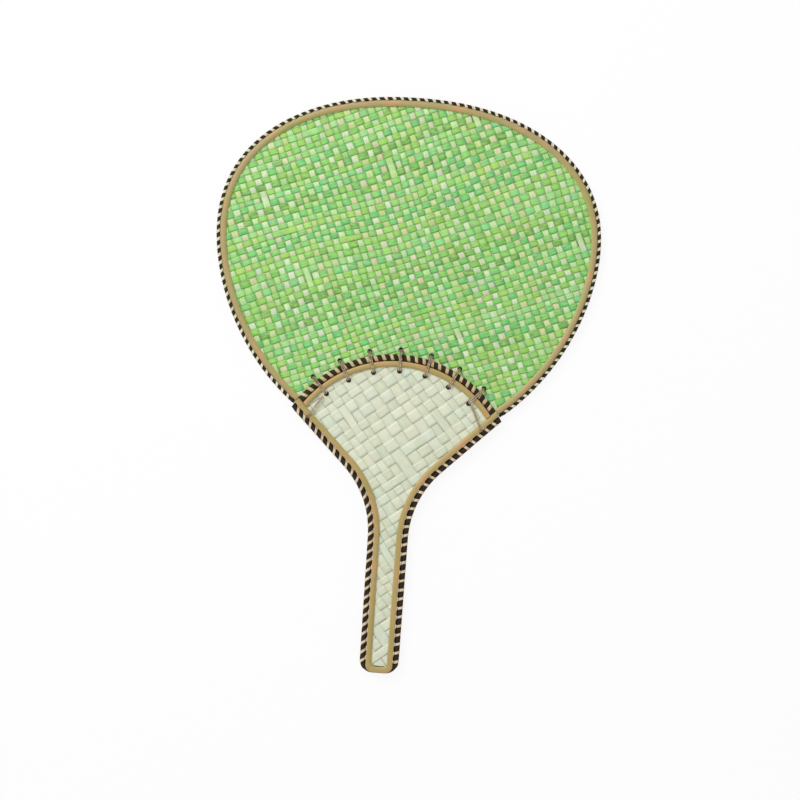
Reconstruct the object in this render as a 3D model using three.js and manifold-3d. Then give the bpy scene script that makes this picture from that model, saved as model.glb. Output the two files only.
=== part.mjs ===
// Hand fan: an oval woven blade laced to a plaited handle with a fishtail top.
// It lies on its back: +Z is the front face, +Y runs from the handle to the blade.
// The pieces are drawn about the middle of the blade's widest line, in the blade's
// middle plane, and the finished fan is then set on its footprint's centre.
import * as THREE from "three";
import { mergeVertices } from "three/addons/utils/BufferGeometryUtils.js";
import Module from "manifold-3d";

const wasm = await Module();
wasm.setup();

// Fit between pieces that lie against each other, in millimetres like every size here
const clearance = 0.3;

// Blade: each half of its outline is a quarter-round whose exponent is 2 on an ellipse
const bladeHalfWidth = 133.7;
const bladeRise = 96.8; // widest line to the top
const riseExponent = 2.2;
const bladeDepth = 149; // widest line to where the sides would close
const depthExponent = 1.85;
const bladeThickness = 1.2;
const tailTrim = 10; // cut off the tail inside the handle, where the sides would close

// Blade rim: a cord on the edge, a bamboo strip on each face, and one flat whipping thread
const rimCordWidth = 1.5;
const rimCordHeight = 1.4;
const rimThread = 0.4;
const rimThreadWidth = 1.7;
const rimPitch = 5.6;
const rimStripWidth = 3.5;
const stripThickness = 1.3;
const stripChamfer = 0.4;

// Handle outline: a round top edge, straight flanks, and a grip with a rounded end
const arcRadius = 85;
const arcDrop = 82.4; // widest line to the crown of the round edge
const flankAngle = 45.6; // degrees off the fan's axis
const neckDrop = 181.8; // widest line to where flank and grip would meet
const neckHalfWidth = 13.9;
const neckRadius = 67;
const handleDrop = 304.5; // widest line to the handle's end
const endHalfWidth = 13.3;
const endInnerRadius = 1.1; // inside bend of the strip at the end's corners

// Handle build: two plaited leaves on a core, edged like the blade
const leafThickness = 1.1;
const sideCordWidth = 2.8;
const arcCordWidth = 3.4;
const arcCordHeight = 1.6;
const handleThread = 0.5;
const handleThreadWidth = 1.9;
const sidePitch = 6.3;
const arcPitch = 5.8;
const handleStripWidth = 4;
const endCordShow = 0.5; // cord left uncovered where the strip crosses the end
const endWhipped = 5.6; // how far the side whipping goes round each of the end's bends

// Lacing: waxed ties through the blade and the handle, spaced along the round edge
const tieCount = 7;
const tieSpacing = 14.1; // degrees about the round edge's centre
const tieWidth = 2;
const tieThickness = 1;
const tieHoleRadius = 1.4;
const tieOuterReach = 3.6; // round edge to the holes in the blade
const tieInnerReach = 2.9; // strip to the holes in the leaves
const tieCornerRadius = 1;
const cornerTieStitchCount = 1; // side stitches between a corner and its tie
const cornerTieWidth = 1.6;
const holeWall = 0.6; // leaf left between a corner tie's hole and its neighbour

// Share of a stitch's pitch that its front crossing takes
const stitchSlant = 0.3;

// How finely round forms are cut
const bladeStations = 78;
const arcStations = 26;
const bendStations = 9;
const cordSides = 8;
const holeSides = 8;
const tongueSides = 60; // whole circle whose upper arc ends the room between the leaves

// Heights above the middle plane, from the layers that lie on each other
const bladeTop = bladeThickness / 2;
const leafBase = bladeTop + clearance;
const leafTop = leafBase + leafThickness;
const handleStripBase = leafTop + clearance;
const handleStripTop = handleStripBase + stripThickness;
const arcCordTop = leafBase + arcCordHeight;

const tailDrop = bladeDepth - tailTrim; // widest line to the end of the blade's tail

// Distances in from an edge, from the pieces that stand side by side there
const rimLane = rimCordWidth + clearance + rimThread / 2;
const rimStripInset = rimLane + rimThread / 2 + clearance;
const sideLane = sideCordWidth + clearance + handleThread / 2;
const sideStripInset = sideLane + handleThread / 2 + clearance;
const arcLane = arcCordWidth + clearance + handleThread / 2;
const arcStripInset = arcLane + handleThread / 2 + clearance;
const threadReach = clearance + handleThread; // thread's outside past a handle cord
const endRadius = sideStripInset + handleStripWidth + endInnerRadius;
const arcCentre = new THREE.Vector2(0, -(arcDrop + arcRadius));

// Ties lie on the highest piece they cross
const arcThreadTop = arcCordTop + threadReach;
const tieBase = Math.max(handleStripTop, arcThreadTop) + clearance;
const tieTop = tieBase + tieThickness;

const radians = THREE.MathUtils.degToRad;

// Geometry helpers

/** A closed mesh as a solid that can be cut. */
function solidOf(geometry) {
  const bare = geometry.clone();
  bare.deleteAttribute("normal");
  bare.deleteAttribute("uv");
  const merged = mergeVertices(bare, 1e-4);
  return new wasm.Manifold(
    new wasm.Mesh({
      numProp: 3,
      vertProperties: merged.attributes.position.array,
      triVerts: new Uint32Array(merged.index.array),
    }),
  );
}

/** A cut solid as a mesh geometry. */
function geometryOf(solid) {
  const mesh = solid.getMesh();
  const geometry = new THREE.BufferGeometry();
  const position = new THREE.BufferAttribute(new Float32Array(mesh.vertProperties), 3);
  geometry.setAttribute("position", position);
  geometry.setIndex(new THREE.BufferAttribute(new Uint32Array(mesh.triVerts), 1));
  geometry.computeVertexNormals();
  return geometry;
}

/** The first geometry with the others taken away from it. */
function cut(geometry, ...tools) {
  let solid = solidOf(geometry);
  for (const tool of tools) solid = solid.subtract(solidOf(tool));
  return geometryOf(solid);
}

/** Rings of equal point count joined into one closed skin, with ends or as a loop. */
function skin(rings, loop = false) {
  const sides = rings[0].length;
  const faces = [];
  const spans = loop ? rings.length : rings.length - 1;
  for (let i = 0; i < spans; i++) {
    const a = i * sides;
    const b = ((i + 1) % rings.length) * sides;
    for (let j = 0; j < sides; j++) {
      const k = (j + 1) % sides;
      faces.push(a + j, a + k, b + k, a + j, b + k, b + j);
    }
  }
  const last = (rings.length - 1) * sides;
  for (let j = 1; j < sides - 1 && !loop; j++) {
    faces.push(0, j + 1, j, last, last + j, last + j + 1);
  }
  const points = rings.flat();
  if (signedVolume(points, faces) < 0) faces.reverse();
  return new THREE.BufferGeometry().setFromPoints(points).setIndex(faces);
}

/** Volume inside a skin, negative where its faces point inwards. */
function signedVolume(points, faces) {
  let total = 0;
  const normal = new THREE.Vector3();
  for (let i = 0; i < faces.length; i += 3) {
    normal.crossVectors(points[faces[i]], points[faces[i + 1]]);
    total += normal.dot(points[faces[i + 2]]) / 6;
  }
  return total;
}

/** A flat outline with holes, filled from one height to another. */
function plate(outline, bottom, top, holes = []) {
  const shape = new THREE.Shape(outline);
  shape.holes = holes.map((points) => new THREE.Path(points));
  const options = { depth: top - bottom, bevelEnabled: false };
  return new THREE.ExtrudeGeometry(shape, options).translate(0, 0, bottom);
}

/** Corners of a round hole. */
function roundHole(centre, radius, sides = holeSides) {
  const corners = [];
  for (let i = 0; i < sides; i++) {
    const angle = (2 * Math.PI * i) / sides;
    const offset = new THREE.Vector2(Math.cos(angle), Math.sin(angle)).multiplyScalar(radius);
    corners.push(offset.add(centre));
  }
  return corners;
}

/** A path's place and outward direction at a length along it; paths run anticlockwise. */
function frameAt(path, length) {
  const share = THREE.MathUtils.clamp(length / path.getLength(), 0, 1);
  const point = path.getPointAt(share);
  const tangent = path.getTangentAt(share);
  return {
    point: new THREE.Vector2(point.x, point.y),
    outward: new THREE.Vector2(tangent.y, -tangent.x).normalize(),
  };
}

/** A frame's point moved in by an inset, at a height. */
function inside(frame, inset, height) {
  const { point, outward } = frame;
  return new THREE.Vector3(point.x - outward.x * inset, point.y - outward.y * inset, height);
}

/** Evenly spaced frames along a whole path. */
function evenFrames(path, count) {
  const length = path.getLength();
  return Array.from({ length: count + 1 }, (_, i) => frameAt(path, (length * i) / count));
}

/** Frames at the corners of an open line of points, their directions mitred. */
function cornerFrames(points) {
  return points.map((point, i) => {
    const before = points[Math.max(i - 1, 0)];
    const after = points[Math.min(i + 1, points.length - 1)];
    const into = (i ? point.clone().sub(before) : after.clone().sub(point)).normalize();
    const out = (after === point ? point.clone().sub(before) : after.clone().sub(point));
    const along = into.add(out.normalize());
    const mitre = 2 / along.length();
    along.normalize();
    return { point, outward: new THREE.Vector2(along.y, -along.x).multiplyScalar(mitre) };
  });
}

/** A section of [inset, height] corners carried along frames. */
function band(frames, section) {
  const ring = (frame) => section.map(([inset, height]) => inside(frame, inset, height));
  return skin(frames.map(ring));
}

/** Section of a strip with its upper edges chamfered; side -1 turns it to the back. */
function stripSection(inset, width, base, side) {
  const low = side * base;
  const shoulder = side * (base + stripThickness - stripChamfer);
  const top = side * (base + stripThickness);
  const far = inset + width;
  return [
    [inset, low],
    [inset, shoulder],
    [inset + stripChamfer, top],
    [far - stripChamfer, top],
    [far, shoulder],
    [far, low],
  ];
}

/** Section of an oval cord that fills an inset range. */
function cordSection(width, height) {
  return Array.from({ length: cordSides }, (_, i) => {
    const angle = (2 * Math.PI * (i + 0.5)) / cordSides;
    return [width / 2 + (width / 2) * Math.cos(angle), (height / 2) * Math.sin(angle)];
  });
}

/** A thread through bends, each a point and the direction its width lies along. */
function thread(bends, section, loop = false) {
  const count = bends.length;
  const run = (from, to, side) => {
    const step = to.point.clone().sub(from.point);
    return step.addScaledVector(side, -step.dot(side)).normalize();
  };
  const ring = (bend, i) => {
    const before = bends[loop ? (i + count - 1) % count : i - 1] ?? bend;
    const after = bends[loop ? (i + 1) % count : i + 1] ?? bend;
    const into = before === bend ? run(bend, after, bend.side) : run(before, bend, bend.side);
    const out = after === bend ? into.clone() : run(bend, after, bend.side);
    const along = into.clone().add(out);
    const mitre = 2 / along.length();
    const up = bend.side.clone().cross(along.normalize()).multiplyScalar(mitre);
    return section.map(([across, rise]) =>
      bend.point.clone().addScaledVector(bend.side, across).addScaledVector(up, rise),
    );
  };
  return skin(bends.map(ring), loop);
}

/** Flat section of a thread. */
function threadSection(width, thickness) {
  const half = width / 2;
  const rise = thickness / 2;
  return [
    [half, rise],
    [half, -rise],
    [-half, -rise],
    [-half, rise],
  ];
}

/** Rounded section of a tie, a flat bundle of strands. */
function tieSection(width, thickness) {
  const half = width / 2;
  const rise = thickness / 2;
  return [
    [half - rise / 2, rise],
    [half, 0],
    [half - rise / 2, -rise],
    [rise / 2 - half, -rise],
    [-half, 0],
    [rise / 2 - half, rise],
  ];
}

// Whipping

/** Bends of an overcast whipping, and its passes through what it binds. */
function overcast(path, spans, lane, reach, height) {
  const bends = [];
  const passes = [];
  for (const start of spans.starts) {
    const entry = frameAt(path, start);
    const exit = frameAt(path, start + spans.pitch * stitchSlant);
    bends.push(bendOn(entry, lane, -height), bendOn(entry, lane, height));
    bends.push(bendOn(exit, -reach, height), bendOn(exit, -reach, -height));
    passes.push({ frame: entry, inset: lane }, { frame: exit, inset: -reach });
  }
  return { bends, passes };
}

/** Corners of the slot that a thread passes through. */
function slot({ frame, inset }, width, thickness) {
  const across = width / 2 + clearance;
  const deep = thickness / 2 + clearance;
  const corners = [
    [-across, inset - deep],
    [across, inset - deep],
    [across, inset + deep],
    [-across, inset + deep],
  ];
  return corners.map(([along, depth]) => {
    const { x, y } = inside(frame, depth, 0);
    return new THREE.Vector2(x - frame.outward.y * along, y + frame.outward.x * along);
  });
}

/** A bend whose width lies along the path. */
function bendOn(frame, inset, height) {
  const side = new THREE.Vector3(-frame.outward.y, frame.outward.x, 0);
  return { point: inside(frame, inset, height), side };
}

/** Where stitches start along a stretch, set evenly about its middle. */
function stitches(from, to, pitch) {
  const count = Math.floor((to - from) / pitch - stitchSlant);
  const slack = (to - from - (count - 1 + stitchSlant) * pitch) / 2;
  const starts = Array.from({ length: count }, (_, i) => from + slack + i * pitch);
  return { starts, pitch };
}

/** Least distance between the turns of a whipping, less the thread's own width. */
function leastGap(bends, width) {
  const turn = 4;
  const samples = [];
  for (let i = 0; i + 1 < bends.length; i++) {
    for (const share of [0, 0.25, 0.5, 0.75]) {
      samples.push({ run: i, at: bends[i].point.clone().lerp(bends[i + 1].point, share) });
    }
  }
  let least = Infinity;
  for (let i = 0; i < samples.length; i++) {
    for (let j = i + 1; j < samples.length && samples[j].run < samples[i].run + 2 * turn; j++) {
      if (samples[j].run - samples[i].run < turn - 1) continue;
      least = Math.min(least, samples[i].at.distanceTo(samples[j].at));
    }
  }
  return least - width;
}

// Outlines

/** Part of the blade's outline, anticlockwise between two directions from its middle. */
class BladeEdge extends THREE.Curve {
  constructor(from, to, inset = 0) {
    super();
    this.from = from;
    this.to = to;
    this.inset = inset;
    this.arcLengthDivisions = 1200;
  }

  outlineAt(angle) {
    const rising = Math.sin(angle) >= 0;
    const exponent = rising ? riseExponent : depthExponent;
    const across = Math.abs(Math.cos(angle)) / bladeHalfWidth;
    const along = Math.abs(Math.sin(angle)) / (rising ? bladeRise : bladeDepth);
    const radius = (across ** exponent + along ** exponent) ** (-1 / exponent);
    return new THREE.Vector3(Math.cos(angle), Math.sin(angle), 0).multiplyScalar(radius);
  }

  getPoint(share) {
    const angle = this.from + (this.to - this.from) * share;
    const nudge = 1e-4;
    const along = this.outlineAt(angle + nudge).sub(this.outlineAt(angle - nudge)).normalize();
    const inward = new THREE.Vector3(-along.y, along.x, 0);
    return this.outlineAt(angle).addScaledVector(inward, this.inset);
  }
}

/** Direction from the blade's middle where its right side first meets a test. */
function bladeAngleWhere(test, inset = 0) {
  const edge = new BladeEdge(-Math.PI / 2, 0, inset);
  let low = 0;
  let high = 1;
  for (let i = 0; i < 40; i++) {
    const middle = (low + high) / 2;
    if (test(edge.getPoint(middle))) low = middle;
    else high = middle;
  }
  return edge.from * (1 - low);
}

/** Right-hand lines of the handle's outline, moved in: each a point and a direction. */
function handleLines(inset, endInset) {
  const flank = radians(flankAngle);
  const neck = new THREE.Vector2(neckHalfWidth, -neckDrop);
  const end = new THREE.Vector2(endHalfWidth, -handleDrop);
  const flankAlong = new THREE.Vector2(Math.sin(flank), Math.cos(flank));
  const gripAlong = neck.clone().sub(end).normalize();
  const move = (point, along) =>
    point.clone().add(new THREE.Vector2(-along.y, along.x).multiplyScalar(inset));
  return {
    flank: { point: move(neck, flankAlong), along: flankAlong },
    grip: { point: move(neck, gripAlong), along: gripAlong },
    end: { point: end.clone().add(new THREE.Vector2(0, endInset)), along: new THREE.Vector2(1, 0) },
  };
}

/** Where two lines cross. */
function crossing(first, second) {
  const gap = second.point.clone().sub(first.point);
  const share = gap.cross(second.along) / first.along.cross(second.along);
  return first.point.clone().addScaledVector(first.along, share);
}

/** Where the right flank, moved in by an inset, meets a circle about the round edge's centre. */
function flankAtRadius(inset, radius) {
  const { flank } = handleLines(inset, 0);
  const toCentre = arcCentre.clone().sub(flank.point);
  const along = toCentre.dot(flank.along);
  const apart = toCentre.cross(flank.along);
  return flank.point.clone().addScaledVector(flank.along, along + Math.sqrt(radius ** 2 - apart ** 2));
}

/** A corner between two lines as an arc of a radius: its ends, centre and sense. */
function bendAt(corner, towards, away, radius) {
  const half = towards.angleTo(away) / 2;
  const reach = radius / Math.tan(half);
  const middle = towards.clone().add(away).normalize();
  const centre = corner.clone().addScaledVector(middle, radius / Math.sin(half));
  return {
    start: corner.clone().addScaledVector(towards, reach),
    finish: corner.clone().addScaledVector(away, reach),
    centre,
  };
}

/** The shorter way round a bend, as points. */
function bendPoints({ start, finish, centre }) {
  const from = start.clone().sub(centre);
  const turn = Math.atan2(from.cross(finish.clone().sub(centre)), from.dot(finish.clone().sub(centre)));
  return Array.from({ length: bendStations + 1 }, (_, i) =>
    from.clone().rotateAround(new THREE.Vector2(), (turn * i) / bendStations).add(centre),
  );
}

/** Anticlockwise points of the handle's sides and end, from the left corner to the right. */
function handleSides(inset, endInset, radius, topRadius) {
  const { flank, grip, end } = handleLines(inset, endInset);
  const neck = crossing(flank, grip);
  const corner = crossing(grip, end);
  const down = grip.along.clone().negate();
  const inwards = new THREE.Vector2(-1, 0);
  const right = [
    ...bendPoints(bendAt(corner, inwards, grip.along, radius)),
    ...bendPoints(bendAt(neck, down, flank.along, neckRadius + inset)),
    flankAtRadius(inset, topRadius),
  ];
  const left = right.map((point) => new THREE.Vector2(-point.x, point.y)).reverse();
  return [...left, ...right];
}

/** Points of the handle's round edge, from the right corner to the left. */
function roundEdge(inset, radius) {
  const tip = flankAtRadius(inset, radius).sub(arcCentre);
  const from = Math.atan2(tip.y, tip.x);
  return Array.from({ length: arcStations + 1 }, (_, i) => {
    const angle = from + ((Math.PI - 2 * from) * i) / arcStations;
    const spoke = new THREE.Vector2(Math.cos(angle), Math.sin(angle));
    return spoke.multiplyScalar(radius).add(arcCentre);
  });
}

/** The handle's closed outline, its sides and its round edge moved in. */
function handleOutline(inset, endInset, topRadius) {
  const radius = endRadius - inset;
  const sides = handleSides(inset, endInset, radius, topRadius);
  return [...sides, ...roundEdge(inset, topRadius).slice(1, -1)];
}

/** A point at a radius and an angle off the fan's axis, about the round edge's centre. */
function onSpoke(radius, degrees) {
  const angle = radians(degrees);
  return new THREE.Vector2(Math.sin(angle), Math.cos(angle)).multiplyScalar(radius).add(arcCentre);
}

// Paths that cords, strips and whippings follow

const rimStopRadius = arcRadius + threadReach + 3 * clearance;
const rimStop = bladeAngleWhere(
  (point) => point.distanceTo(new THREE.Vector3(arcCentre.x, arcCentre.y, 0)) < rimStopRadius,
);
const rimPath = new BladeEdge(rimStop, Math.PI - rimStop);
const rimRun = rimPath.getLength();
const rimStitches = stitches(rimThreadWidth / 2, rimRun - rimThreadWidth / 2, rimPitch);

/** Points joined by straight runs as a path that can be measured. */
function pathThrough(points) {
  const path = new THREE.CurvePath();
  points.slice(1).forEach((point, i) => path.add(new THREE.LineCurve(points[i], point)));
  return path;
}

const sideTopRadius = arcRadius - arcStripInset;
const sidePoints = handleSides(0, 0, endRadius, sideTopRadius);
const sidePath = pathThrough(sidePoints);
const sideRun = sideLength(sidePoints) + endWhipped;
const wholeRun = sidePath.getLength();
const sideEnd = clearance + handleThreadWidth / 2;
const leftStitches = stitches(sideEnd, sideRun, sidePitch);
const rightStitches = stitches(wholeRun - sideRun, wholeRun - sideEnd, sidePitch);
const arcPath = new THREE.CurvePath();
arcPath.add(arcCurve(arcRadius));
const arcRun = arcPath.getLength();
const arcStitches = stitches(arcCordWidth, arcRun - arcCordWidth, arcPitch);

/** The round edge at a radius as an arc, anticlockwise from the right corner. */
function arcCurve(radius) {
  const tip = flankAtRadius(0, radius).sub(arcCentre);
  const from = Math.atan2(tip.y, tip.x);
  return new THREE.EllipseCurve(arcCentre.x, arcCentre.y, radius, radius, from, Math.PI - from);
}

/** Length of one side, from its corner down to where the end's bend starts. */
function sideLength(points) {
  const half = points.slice(0, points.length / 2 - bendStations);
  return pathThrough(half).getLength();
}

// Pieces of the blade

/** The woven sheet: notched for the rim's stitches and holed for the lacing. */
function bladePanel() {
  const edgeInset = rimCordWidth + clearance;
  const notchInset = rimLane + rimThread / 2 + clearance;
  const notchHalf = rimThreadWidth / 2 + clearance;
  const rim = rimStitches.starts.flatMap((start) => {
    const [first, last] = [start - notchHalf, start + notchHalf].map((at) => frameAt(rimPath, at));
    return [
      inside(first, edgeInset, 0),
      inside(first, notchInset, 0),
      inside(last, notchInset, 0),
      inside(last, edgeInset, 0),
    ];
  });
  const foot = bladeAngleWhere((point) => point.y < -tailDrop, edgeInset);
  const below = new BladeEdge(foot, rimStop, edgeInset).getSpacedPoints(bendStations);
  const mirrored = below.map((point) => new THREE.Vector3(-point.x, point.y, 0)).reverse();
  const outline = [...below, ...rim, ...mirrored].map(({ x, y }) => new THREE.Vector2(x, y));
  const holes = [
    ...arcWhipping.passes.map((pass) => slot(pass, handleThreadWidth, handleThread)),
    ...tiePoints().flatMap(({ outer, inner }) => [
      roundHole(outer, tieHoleRadius),
      roundHole(inner, tieHoleRadius),
    ]),
    ...cornerTiePoints().map(({ hole }) => roundHole(hole, tieHoleRadius)),
  ];
  const bounds = 2 * stripThickness;
  const drills = holes.map((hole) => plate(hole, -bounds, bounds));
  const sheet = plate(outline, -bladeTop, bladeTop);
  const round = roundHole(arcCentre, sideTopRadius + clearance, tongueSides);
  const disc = plate(round, -bounds, bounds);
  const leafSpace = handleOutline(sideStripInset, sideCordWidth + clearance, 2 * arcRadius);
  const besideLeaves = cut(disc, plate(leafSpace, -2 * bounds, 2 * bounds));
  return cut(sheet, besideLeaves, ...drills);
}

/** A bamboo strip that follows the blade's rim on the front (1) or the back (-1). */
function rimStrip(side) {
  return band(
    evenFrames(rimPath, bladeStations),
    stripSection(rimStripInset, rimStripWidth, leafBase, side),
  );
}

/** The dark cord that lies on the blade's edge. */
function rimCord() {
  const section = new THREE.Shape();
  section.absellipse(0, 0, rimCordHeight / 2, rimCordWidth / 2, 0, 2 * Math.PI);
  const path = new BladeEdge(rimStop, Math.PI - rimStop, rimCordWidth / 2);
  return new THREE.ExtrudeGeometry(section, {
    steps: bladeStations,
    curveSegments: cordSides / 2,
    extrudePath: path,
  });
}

// Pieces of the handle

/** A plaited leaf on the front (1) or the back (-1), holed for the lacing. */
function leaf(side) {
  const outline = handleOutline(sideStripInset, sideCordWidth + clearance, sideTopRadius);
  const holes = [
    ...tiePoints().map(({ inner }) => roundHole(inner, tieHoleRadius)),
    ...cornerTiePoints().map(({ hole }) => roundHole(hole, tieHoleRadius)),
  ];
  const [bottom, top] = side > 0 ? [leafBase, leafTop] : [-leafTop, -leafBase];
  return plate(outline, bottom, top, holes);
}

/** The stiff slat between the leaves, below the blade's tail. */
function core() {
  const outline = handleSides(
    sideStripInset,
    sideCordWidth + clearance,
    endRadius - sideStripInset,
    sideTopRadius,
  );
  const top = -tailDrop - clearance;
  const { flank } = handleLines(sideStripInset, 0);
  const shoulder = crossing({ point: new THREE.Vector2(0, top), along: new THREE.Vector2(1, 0) }, flank);
  const lower = outline.filter((point) => point.y < top);
  const left = new THREE.Vector2(-shoulder.x, top);
  return plate([left, ...lower, shoulder], -bladeTop, bladeTop);
}

/** The line along which the strips are mitred at the right corner. */
function mitreLine() {
  const outer = flankAtRadius(sideStripInset, arcRadius - arcStripInset);
  const farInset = sideStripInset + handleStripWidth;
  const inner = flankAtRadius(farInset, arcRadius - arcStripInset - handleStripWidth);
  return { point: outer, along: inner.clone().sub(outer).normalize() };
}

/** A block that clears one side of a line, from a gap before it. */
function blockBeside(line, side, gap) {
  const reach = arcRadius;
  const normal = new THREE.Vector2(-line.along.y, line.along.x).multiplyScalar(side);
  const near = line.point.clone().addScaledVector(normal, -gap);
  const corners = [-1, 1].map((end) => near.clone().addScaledVector(line.along, end * reach));
  const far = corners.map((corner) => corner.clone().addScaledVector(normal, reach)).reverse();
  const outline = [...corners, ...far];
  return plate(side > 0 ? outline : outline.reverse(), -2 * tieTop, 2 * tieTop);
}

/** A line mirrored to the fan's left side. */
function mirroredLine({ point, along }) {
  return {
    point: new THREE.Vector2(-point.x, point.y),
    along: new THREE.Vector2(-along.x, along.y),
  };
}

/** Blocks that clear both corners past the mitre, on the arc's side or the flank's. */
function mitreBlocks(keepArc) {
  const line = mitreLine();
  const side = keepArc ? 1 : -1;
  const gap = clearance / 2;
  return [blockBeside(line, side, gap), blockBeside(mirroredLine(line), -side, gap)];
}

/** The bamboo strip under the round edge, its ends mitred. */
function arcStrip(side) {
  const overrun = handleStripWidth / arcRadius;
  const curve = arcCurve(arcRadius);
  curve.aStartAngle -= overrun;
  curve.aEndAngle += overrun;
  const section = stripSection(arcStripInset, handleStripWidth, handleStripBase, side);
  return cut(band(evenFrames(curve, arcStations), section), ...mitreBlocks(true));
}

/** The bamboo strip down both sides and round the end, its upper ends mitred. */
function sideStrip(side) {
  const inset = sideStripInset;
  const bend = endRadius - inset;
  const points = handleSides(inset, endCordShow, bend, arcRadius);
  const section = stripSection(0, handleStripWidth, handleStripBase, side);
  return cut(band(cornerFrames(points), section), ...mitreBlocks(false));
}

/** The dark cord down both sides and round the end. */
function sideCord() {
  return band(cornerFrames(sidePoints), cordSection(sideCordWidth, 2 * leafTop));
}

/** The dark cord on the blade along the round edge, flat where it lies. */
function arcCord(side) {
  const half = arcCordWidth / 2;
  const shoulder = leafBase + arcCordHeight / 2;
  const section = [
    [0, leafBase],
    [0, shoulder],
    [half / 2, arcCordTop],
    [arcCordWidth - half / 2, arcCordTop],
    [arcCordWidth, shoulder],
    [arcCordWidth, leafBase],
  ];
  const turned = section.map(([inset, height]) => [inset, side * height]);
  const { flank } = handleLines(0, 0);
  const beyond = [blockBeside(flank, -1, 0), blockBeside(mirroredLine(flank), 1, 0)];
  const curve = arcCurve(arcRadius);
  return cut(band(evenFrames(curve, arcStations), turned), ...beyond);
}

// Lacing

/** Outer and inner hole of each tie across the round edge. */
function tiePoints() {
  const outer = arcRadius + tieOuterReach;
  const inner = arcRadius - arcStripInset - handleStripWidth - tieInnerReach;
  return Array.from({ length: tieCount }, (_, i) => {
    const angle = (i - (tieCount - 1) / 2) * tieSpacing;
    return { outer: onSpoke(outer, angle), inner: onSpoke(inner, angle) };
  });
}

/** Pass, hole and width's direction of each corner tie, which goes round the side strips. */
function cornerTiePoints() {
  const above = rightStitches.starts.length - cornerTieStitchCount;
  const places = [
    { name: "left", place: leftStitches.starts[cornerTieStitchCount - 1] + sidePitch / 2, turn: -1 },
    { name: "right", place: rightStitches.starts[above] - sidePitch / 2, turn: 1 },
  ];
  const radius = tiePoints()[0].inner.distanceTo(arcCentre);
  const apart = THREE.MathUtils.radToDeg((2 * tieHoleRadius + holeWall) / radius);
  const angle = ((tieCount - 1) / 2) * tieSpacing + apart;
  return places.map(({ name, place, turn }) => {
    const frame = frameAt(sidePath, place);
    const side = new THREE.Vector3(-frame.outward.y, frame.outward.x, 0);
    return { name, pass: inside(frame, sideLane, 0), hole: onSpoke(radius, turn * angle), side };
  });
}

/** A tie through two places, over the front and the back, with rounded corners. */
function tie(first, second, width, thickness, widthAlong) {
  const ends = [first, second].map(({ x, y }) => new THREE.Vector3(x, y, 0));
  const along = ends[1].clone().sub(ends[0]).normalize();
  const side = widthAlong ?? new THREE.Vector3(-along.y, along.x, 0);
  const place = (end, inward, below, face) => {
    const point = end.clone().addScaledVector(along, (end === ends[0] ? 1 : -1) * inward);
    point.z = face * (tieBase + thickness / 2 - below);
    return { point, side };
  };
  const corner = (end, face) => {
    const knee = tieCornerRadius * (1 - Math.SQRT1_2);
    return [
      place(end, 0, tieCornerRadius, face),
      place(end, knee, knee, face),
      place(end, tieCornerRadius, 0, face),
    ];
  };
  const bends = [
    ...corner(ends[0], 1),
    ...corner(ends[1], 1).reverse(),
    ...corner(ends[1], -1),
    ...corner(ends[0], -1).reverse(),
  ];
  return thread(bends, tieSection(width, thickness), true);
}

// Windings, each one unbroken thread

const rimWhipping = overcast(
  rimPath,
  rimStitches,
  rimLane,
  clearance + rimThread / 2,
  rimCordHeight / 2 + clearance + rimThread / 2,
);
const arcWhipping = overcast(
  arcPath,
  arcStitches,
  arcLane,
  clearance + handleThread / 2,
  arcCordTop + clearance + handleThread / 2,
);
const [leftWhipping, rightWhipping] = [leftStitches, rightStitches].map((spans) =>
  overcast(
    sidePath,
    spans,
    sideLane,
    clearance + handleThread / 2,
    leafTop + clearance + handleThread / 2,
  ),
);

// Finishes

const finishes = {
  weave: { color: 0x86a95a, roughness: 0.55 },
  plait: { color: 0xcdd2b4, roughness: 0.55 },
  bamboo: { color: 0xbda36a, roughness: 0.5 },
  core: { color: 0xc9b37f, roughness: 0.6 },
  darkCord: { color: 0x1f1a12, roughness: 0.6 },
  thread: { color: 0xd9cdb0, roughness: 0.7 },
  waxedTie: { color: 0x9c8767, roughness: 0.45 },
};

const materials = Object.fromEntries(
  Object.entries(finishes).map(([name, finish]) => [
    name,
    new THREE.MeshStandardMaterial({ name, metalness: 0, ...finish }),
  ]),
);

/** A named mesh of one piece. */
function piece(name, geometry, finish) {
  const mesh = new THREE.Mesh(geometry, materials[finish]);
  mesh.name = name;
  return mesh;
}

/** The blade with its edging. */
function bladeGroup() {
  const group = new THREE.Group();
  const rimSection = threadSection(rimThreadWidth, rimThread);
  group.add(
    piece("blade_panel", bladePanel(), "weave"),
    piece("blade_rim_strip_front", rimStrip(1), "bamboo"),
    piece("blade_rim_strip_back", rimStrip(-1), "bamboo"),
    piece("blade_edge_cord", rimCord(), "darkCord"),
    piece("blade_whipping", thread(rimWhipping.bends, rimSection), "thread"),
  );
  return group;
}

/** The handle with its edging. */
function handleGroup() {
  const group = new THREE.Group();
  const section = threadSection(handleThreadWidth, handleThread);
  group.add(
    piece("handle_leaf_front", leaf(1), "plait"),
    piece("handle_leaf_back", leaf(-1), "plait"),
    piece("handle_core", core(), "core"),
    piece("arc_strip_front", arcStrip(1), "bamboo"),
    piece("arc_strip_back", arcStrip(-1), "bamboo"),
    piece("side_strip_front", sideStrip(1), "bamboo"),
    piece("side_strip_back", sideStrip(-1), "bamboo"),
    piece("side_cord", sideCord(), "darkCord"),
    piece("arc_cord_front", arcCord(1), "darkCord"),
    piece("arc_cord_back", arcCord(-1), "darkCord"),
    piece("side_whipping_left", thread(leftWhipping.bends, section), "thread"),
    piece("side_whipping_right", thread(rightWhipping.bends, section), "thread"),
    piece("arc_whipping", thread(arcWhipping.bends, section), "thread"),
  );
  return group;
}

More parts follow.
